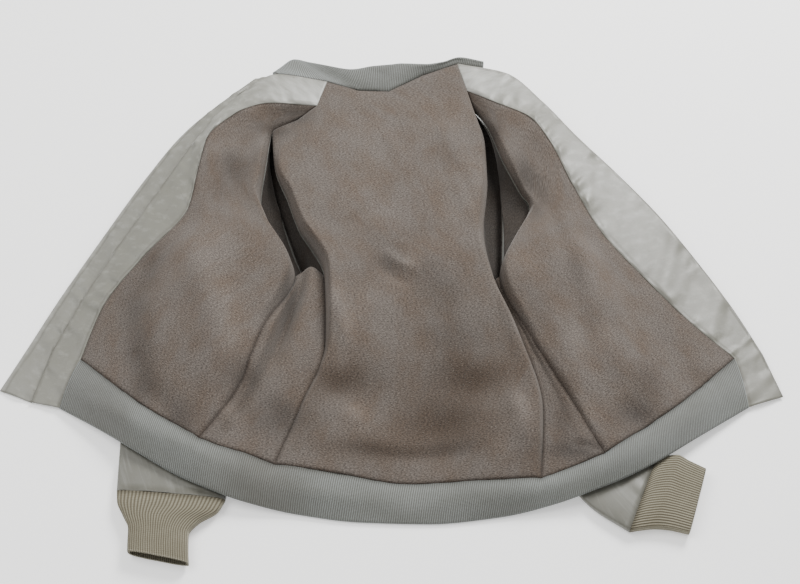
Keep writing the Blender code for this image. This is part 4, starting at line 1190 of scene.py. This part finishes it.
def buildCuff(side, table, sleeveEnd):
    start, end, *rest = sleeveEnd
    runX, runY = end[0] - start[0], end[1] - start[1]
    length = math.hypot(runX, runY)
    turned = 1 if runX < 0 else -1
    step = (-runY / length * gapWidth * turned, runX / length * gapWidth * turned)
    first = ((start[0] + step[0], start[1] + step[1]), (end[0] + step[0], end[1] + step[1]), *rest)
    count = cuffKnit["ringPoints"]
    coarse = np.array([ringPointsOf(s, count) for s in (first, *table)])
    thin = np.array([ringPointsOf(s, count, min(layerDepths["cuff"], s[3] - 2)) for s in (first, *table)])
    places = stepPlaces([cuffKnit["ringFiner"]] * (len(coarse) - 1))
    outer, inner = smoothAlong(coarse, places), smoothAlong(thin, places)
    whole = np.concatenate([outer, outer[:, :1]], axis=1)
    rows, restRows, columns, _ = gridDistances(whole)
    circumference = columns[:, -1:]
    ribCount = round(float(circumference.mean()) / cuffKnit["ribPitch"])
    turn = columns / circumference
    ribs = 0.5 + 0.5 * np.cos(2 * np.pi * turn[:, :-1] * ribCount)
    inward = inwardOf(outer)
    outer = outer + inward * (cuffKnit["ribHeight"] * (1 - ribs))[..., None]
    pattern = np.stack([turn * ribCount * cuffKnit["ribPitch"], rows], axis=-1)
    near = rows[:, :-1]
    marks = {"stain": 0.35 * np.clip(unevenWave(near * 1.7, 20, 81), 0, 1),
             # Painted shade along the cuff's seam with the sleeve.
             "groove": np.exp(-((near / 4) ** 2)) * 0.8, "pale": 0 * near}
    piece = makeCloth("cuff" + side, "cuff_" + side.lower(), "cuff_knit", outer, inner, marks, closed=True,
                      bulge=0.6, pattern=pattern)
    sheets.append((piece, outer, (), True))


def frontUnder(facing, lining):
    both = np.concatenate([facing[:, :-1], lining], axis=1)
    return lowered(drawnIn(both, gapWidth / 2), depthBelow, slopesOf(both))


backUnder, rightSideUnder, leftSideUnder = (
    lowered(drawnIn(g, gapWidth / 2), depthBelow, slopesOf(g)) for g in (back, rightSide, leftSide)
)
rightUnder, leftUnder = frontUnder(rightFacing, rightLining), frontUnder(leftFacing, leftLining)
cornerRow = (len(form["rightFront"]) - 2) * form["sectionRows"] * rowFiner
rightArmhole = (rightUnder[armRow : cornerRow + 1, -1], rightSideUnder[-1], backUnder[armRow:, 0])
leftArmhole = (leftUnder[armRow:, -1], leftSideUnder[-1], backUnder[armRow:, -1])
buildSleeve("Right", sleeveCloth["right"], rightArmhole)
buildSleeve("Left", sleeveCloth["left"], leftArmhole)
buildCuff("Right", cuffKnit["right"], sleeveCloth["right"][-1])
buildCuff("Left", cuffKnit["left"], sleeveCloth["left"][-1])
print("sleeves and cuffs made")


for entry in sheets:
    piece, grid, restsOn = entry[:3]
    declareSheet(piece, grid, closed=len(entry) > 3)


# Floor, light and camera

studio = {
    "floor": (0.86, 0.86, 0.85), "floorGlow": 0.45, "floorSize": 8, "air": 0.75,
    "camera": (0.010, -0.8905, 1.2697), "aim": (0.010, -0.0015, 0.0), "lens": 60.75,
    "mainLight": ((1.0, 1.5, 1.5), 1.0, 95), "fillLight": ((-1.2, 0.2, 2.0), 1.6, 34),  # place, size, power
}

bpy.ops.object.select_all(action="DESELECT")
bpy.ops.mesh.primitive_plane_add(size=studio["floorSize"], location=(0, 0, 0))
floor = bpy.context.active_object
floor.name = "floor"
floorFinish = bpy.data.materials.new("paleFloor")
floorFinish.use_nodes = True
floorShader = floorFinish.node_tree.nodes["Principled BSDF"]
floorShader.inputs["Base Color"].default_value = studio["floor"] + (1,)
floorShader.inputs["Roughness"].default_value = 0.9
floorShader.inputs["Emission Color"].default_value = (1, 1, 1, 1)
floorShader.inputs["Emission Strength"].default_value = studio["floorGlow"]
floor.data.materials.append(floorFinish)


def softLight(name):
    place, size, power = studio[name]
    lamp = bpy.data.lights.new(name, "AREA")
    lamp.shape, lamp.size, lamp.energy = "DISK", size, power
    holder = bpy.data.objects.new(name, lamp)
    bpy.context.scene.collection.objects.link(holder)
    holder.location = place
    holder.rotation_euler = (-Vector(place)).to_track_quat("-Z", "Y").to_euler()


softLight("mainLight")
softLight("fillLight")
world = bpy.context.scene.world or bpy.data.worlds.new("studioAir")
bpy.context.scene.world = world
world.use_nodes = True
world.node_tree.nodes["Background"].inputs["Color"].default_value = (1, 1, 1, 1)
world.node_tree.nodes["Background"].inputs["Strength"].default_value = studio["air"]

cameraData = bpy.data.cameras.new("camera")
cameraData.sensor_width, cameraData.lens = 36.0, studio["lens"]
camera = bpy.data.objects.new("camera", cameraData)
bpy.context.scene.collection.objects.link(camera)
camera.location = studio["camera"]
camera.rotation_euler = (Vector(studio["aim"]) - Vector(studio["camera"])).to_track_quat("-Z", "Y").to_euler()
bpy.context.scene.camera = camera
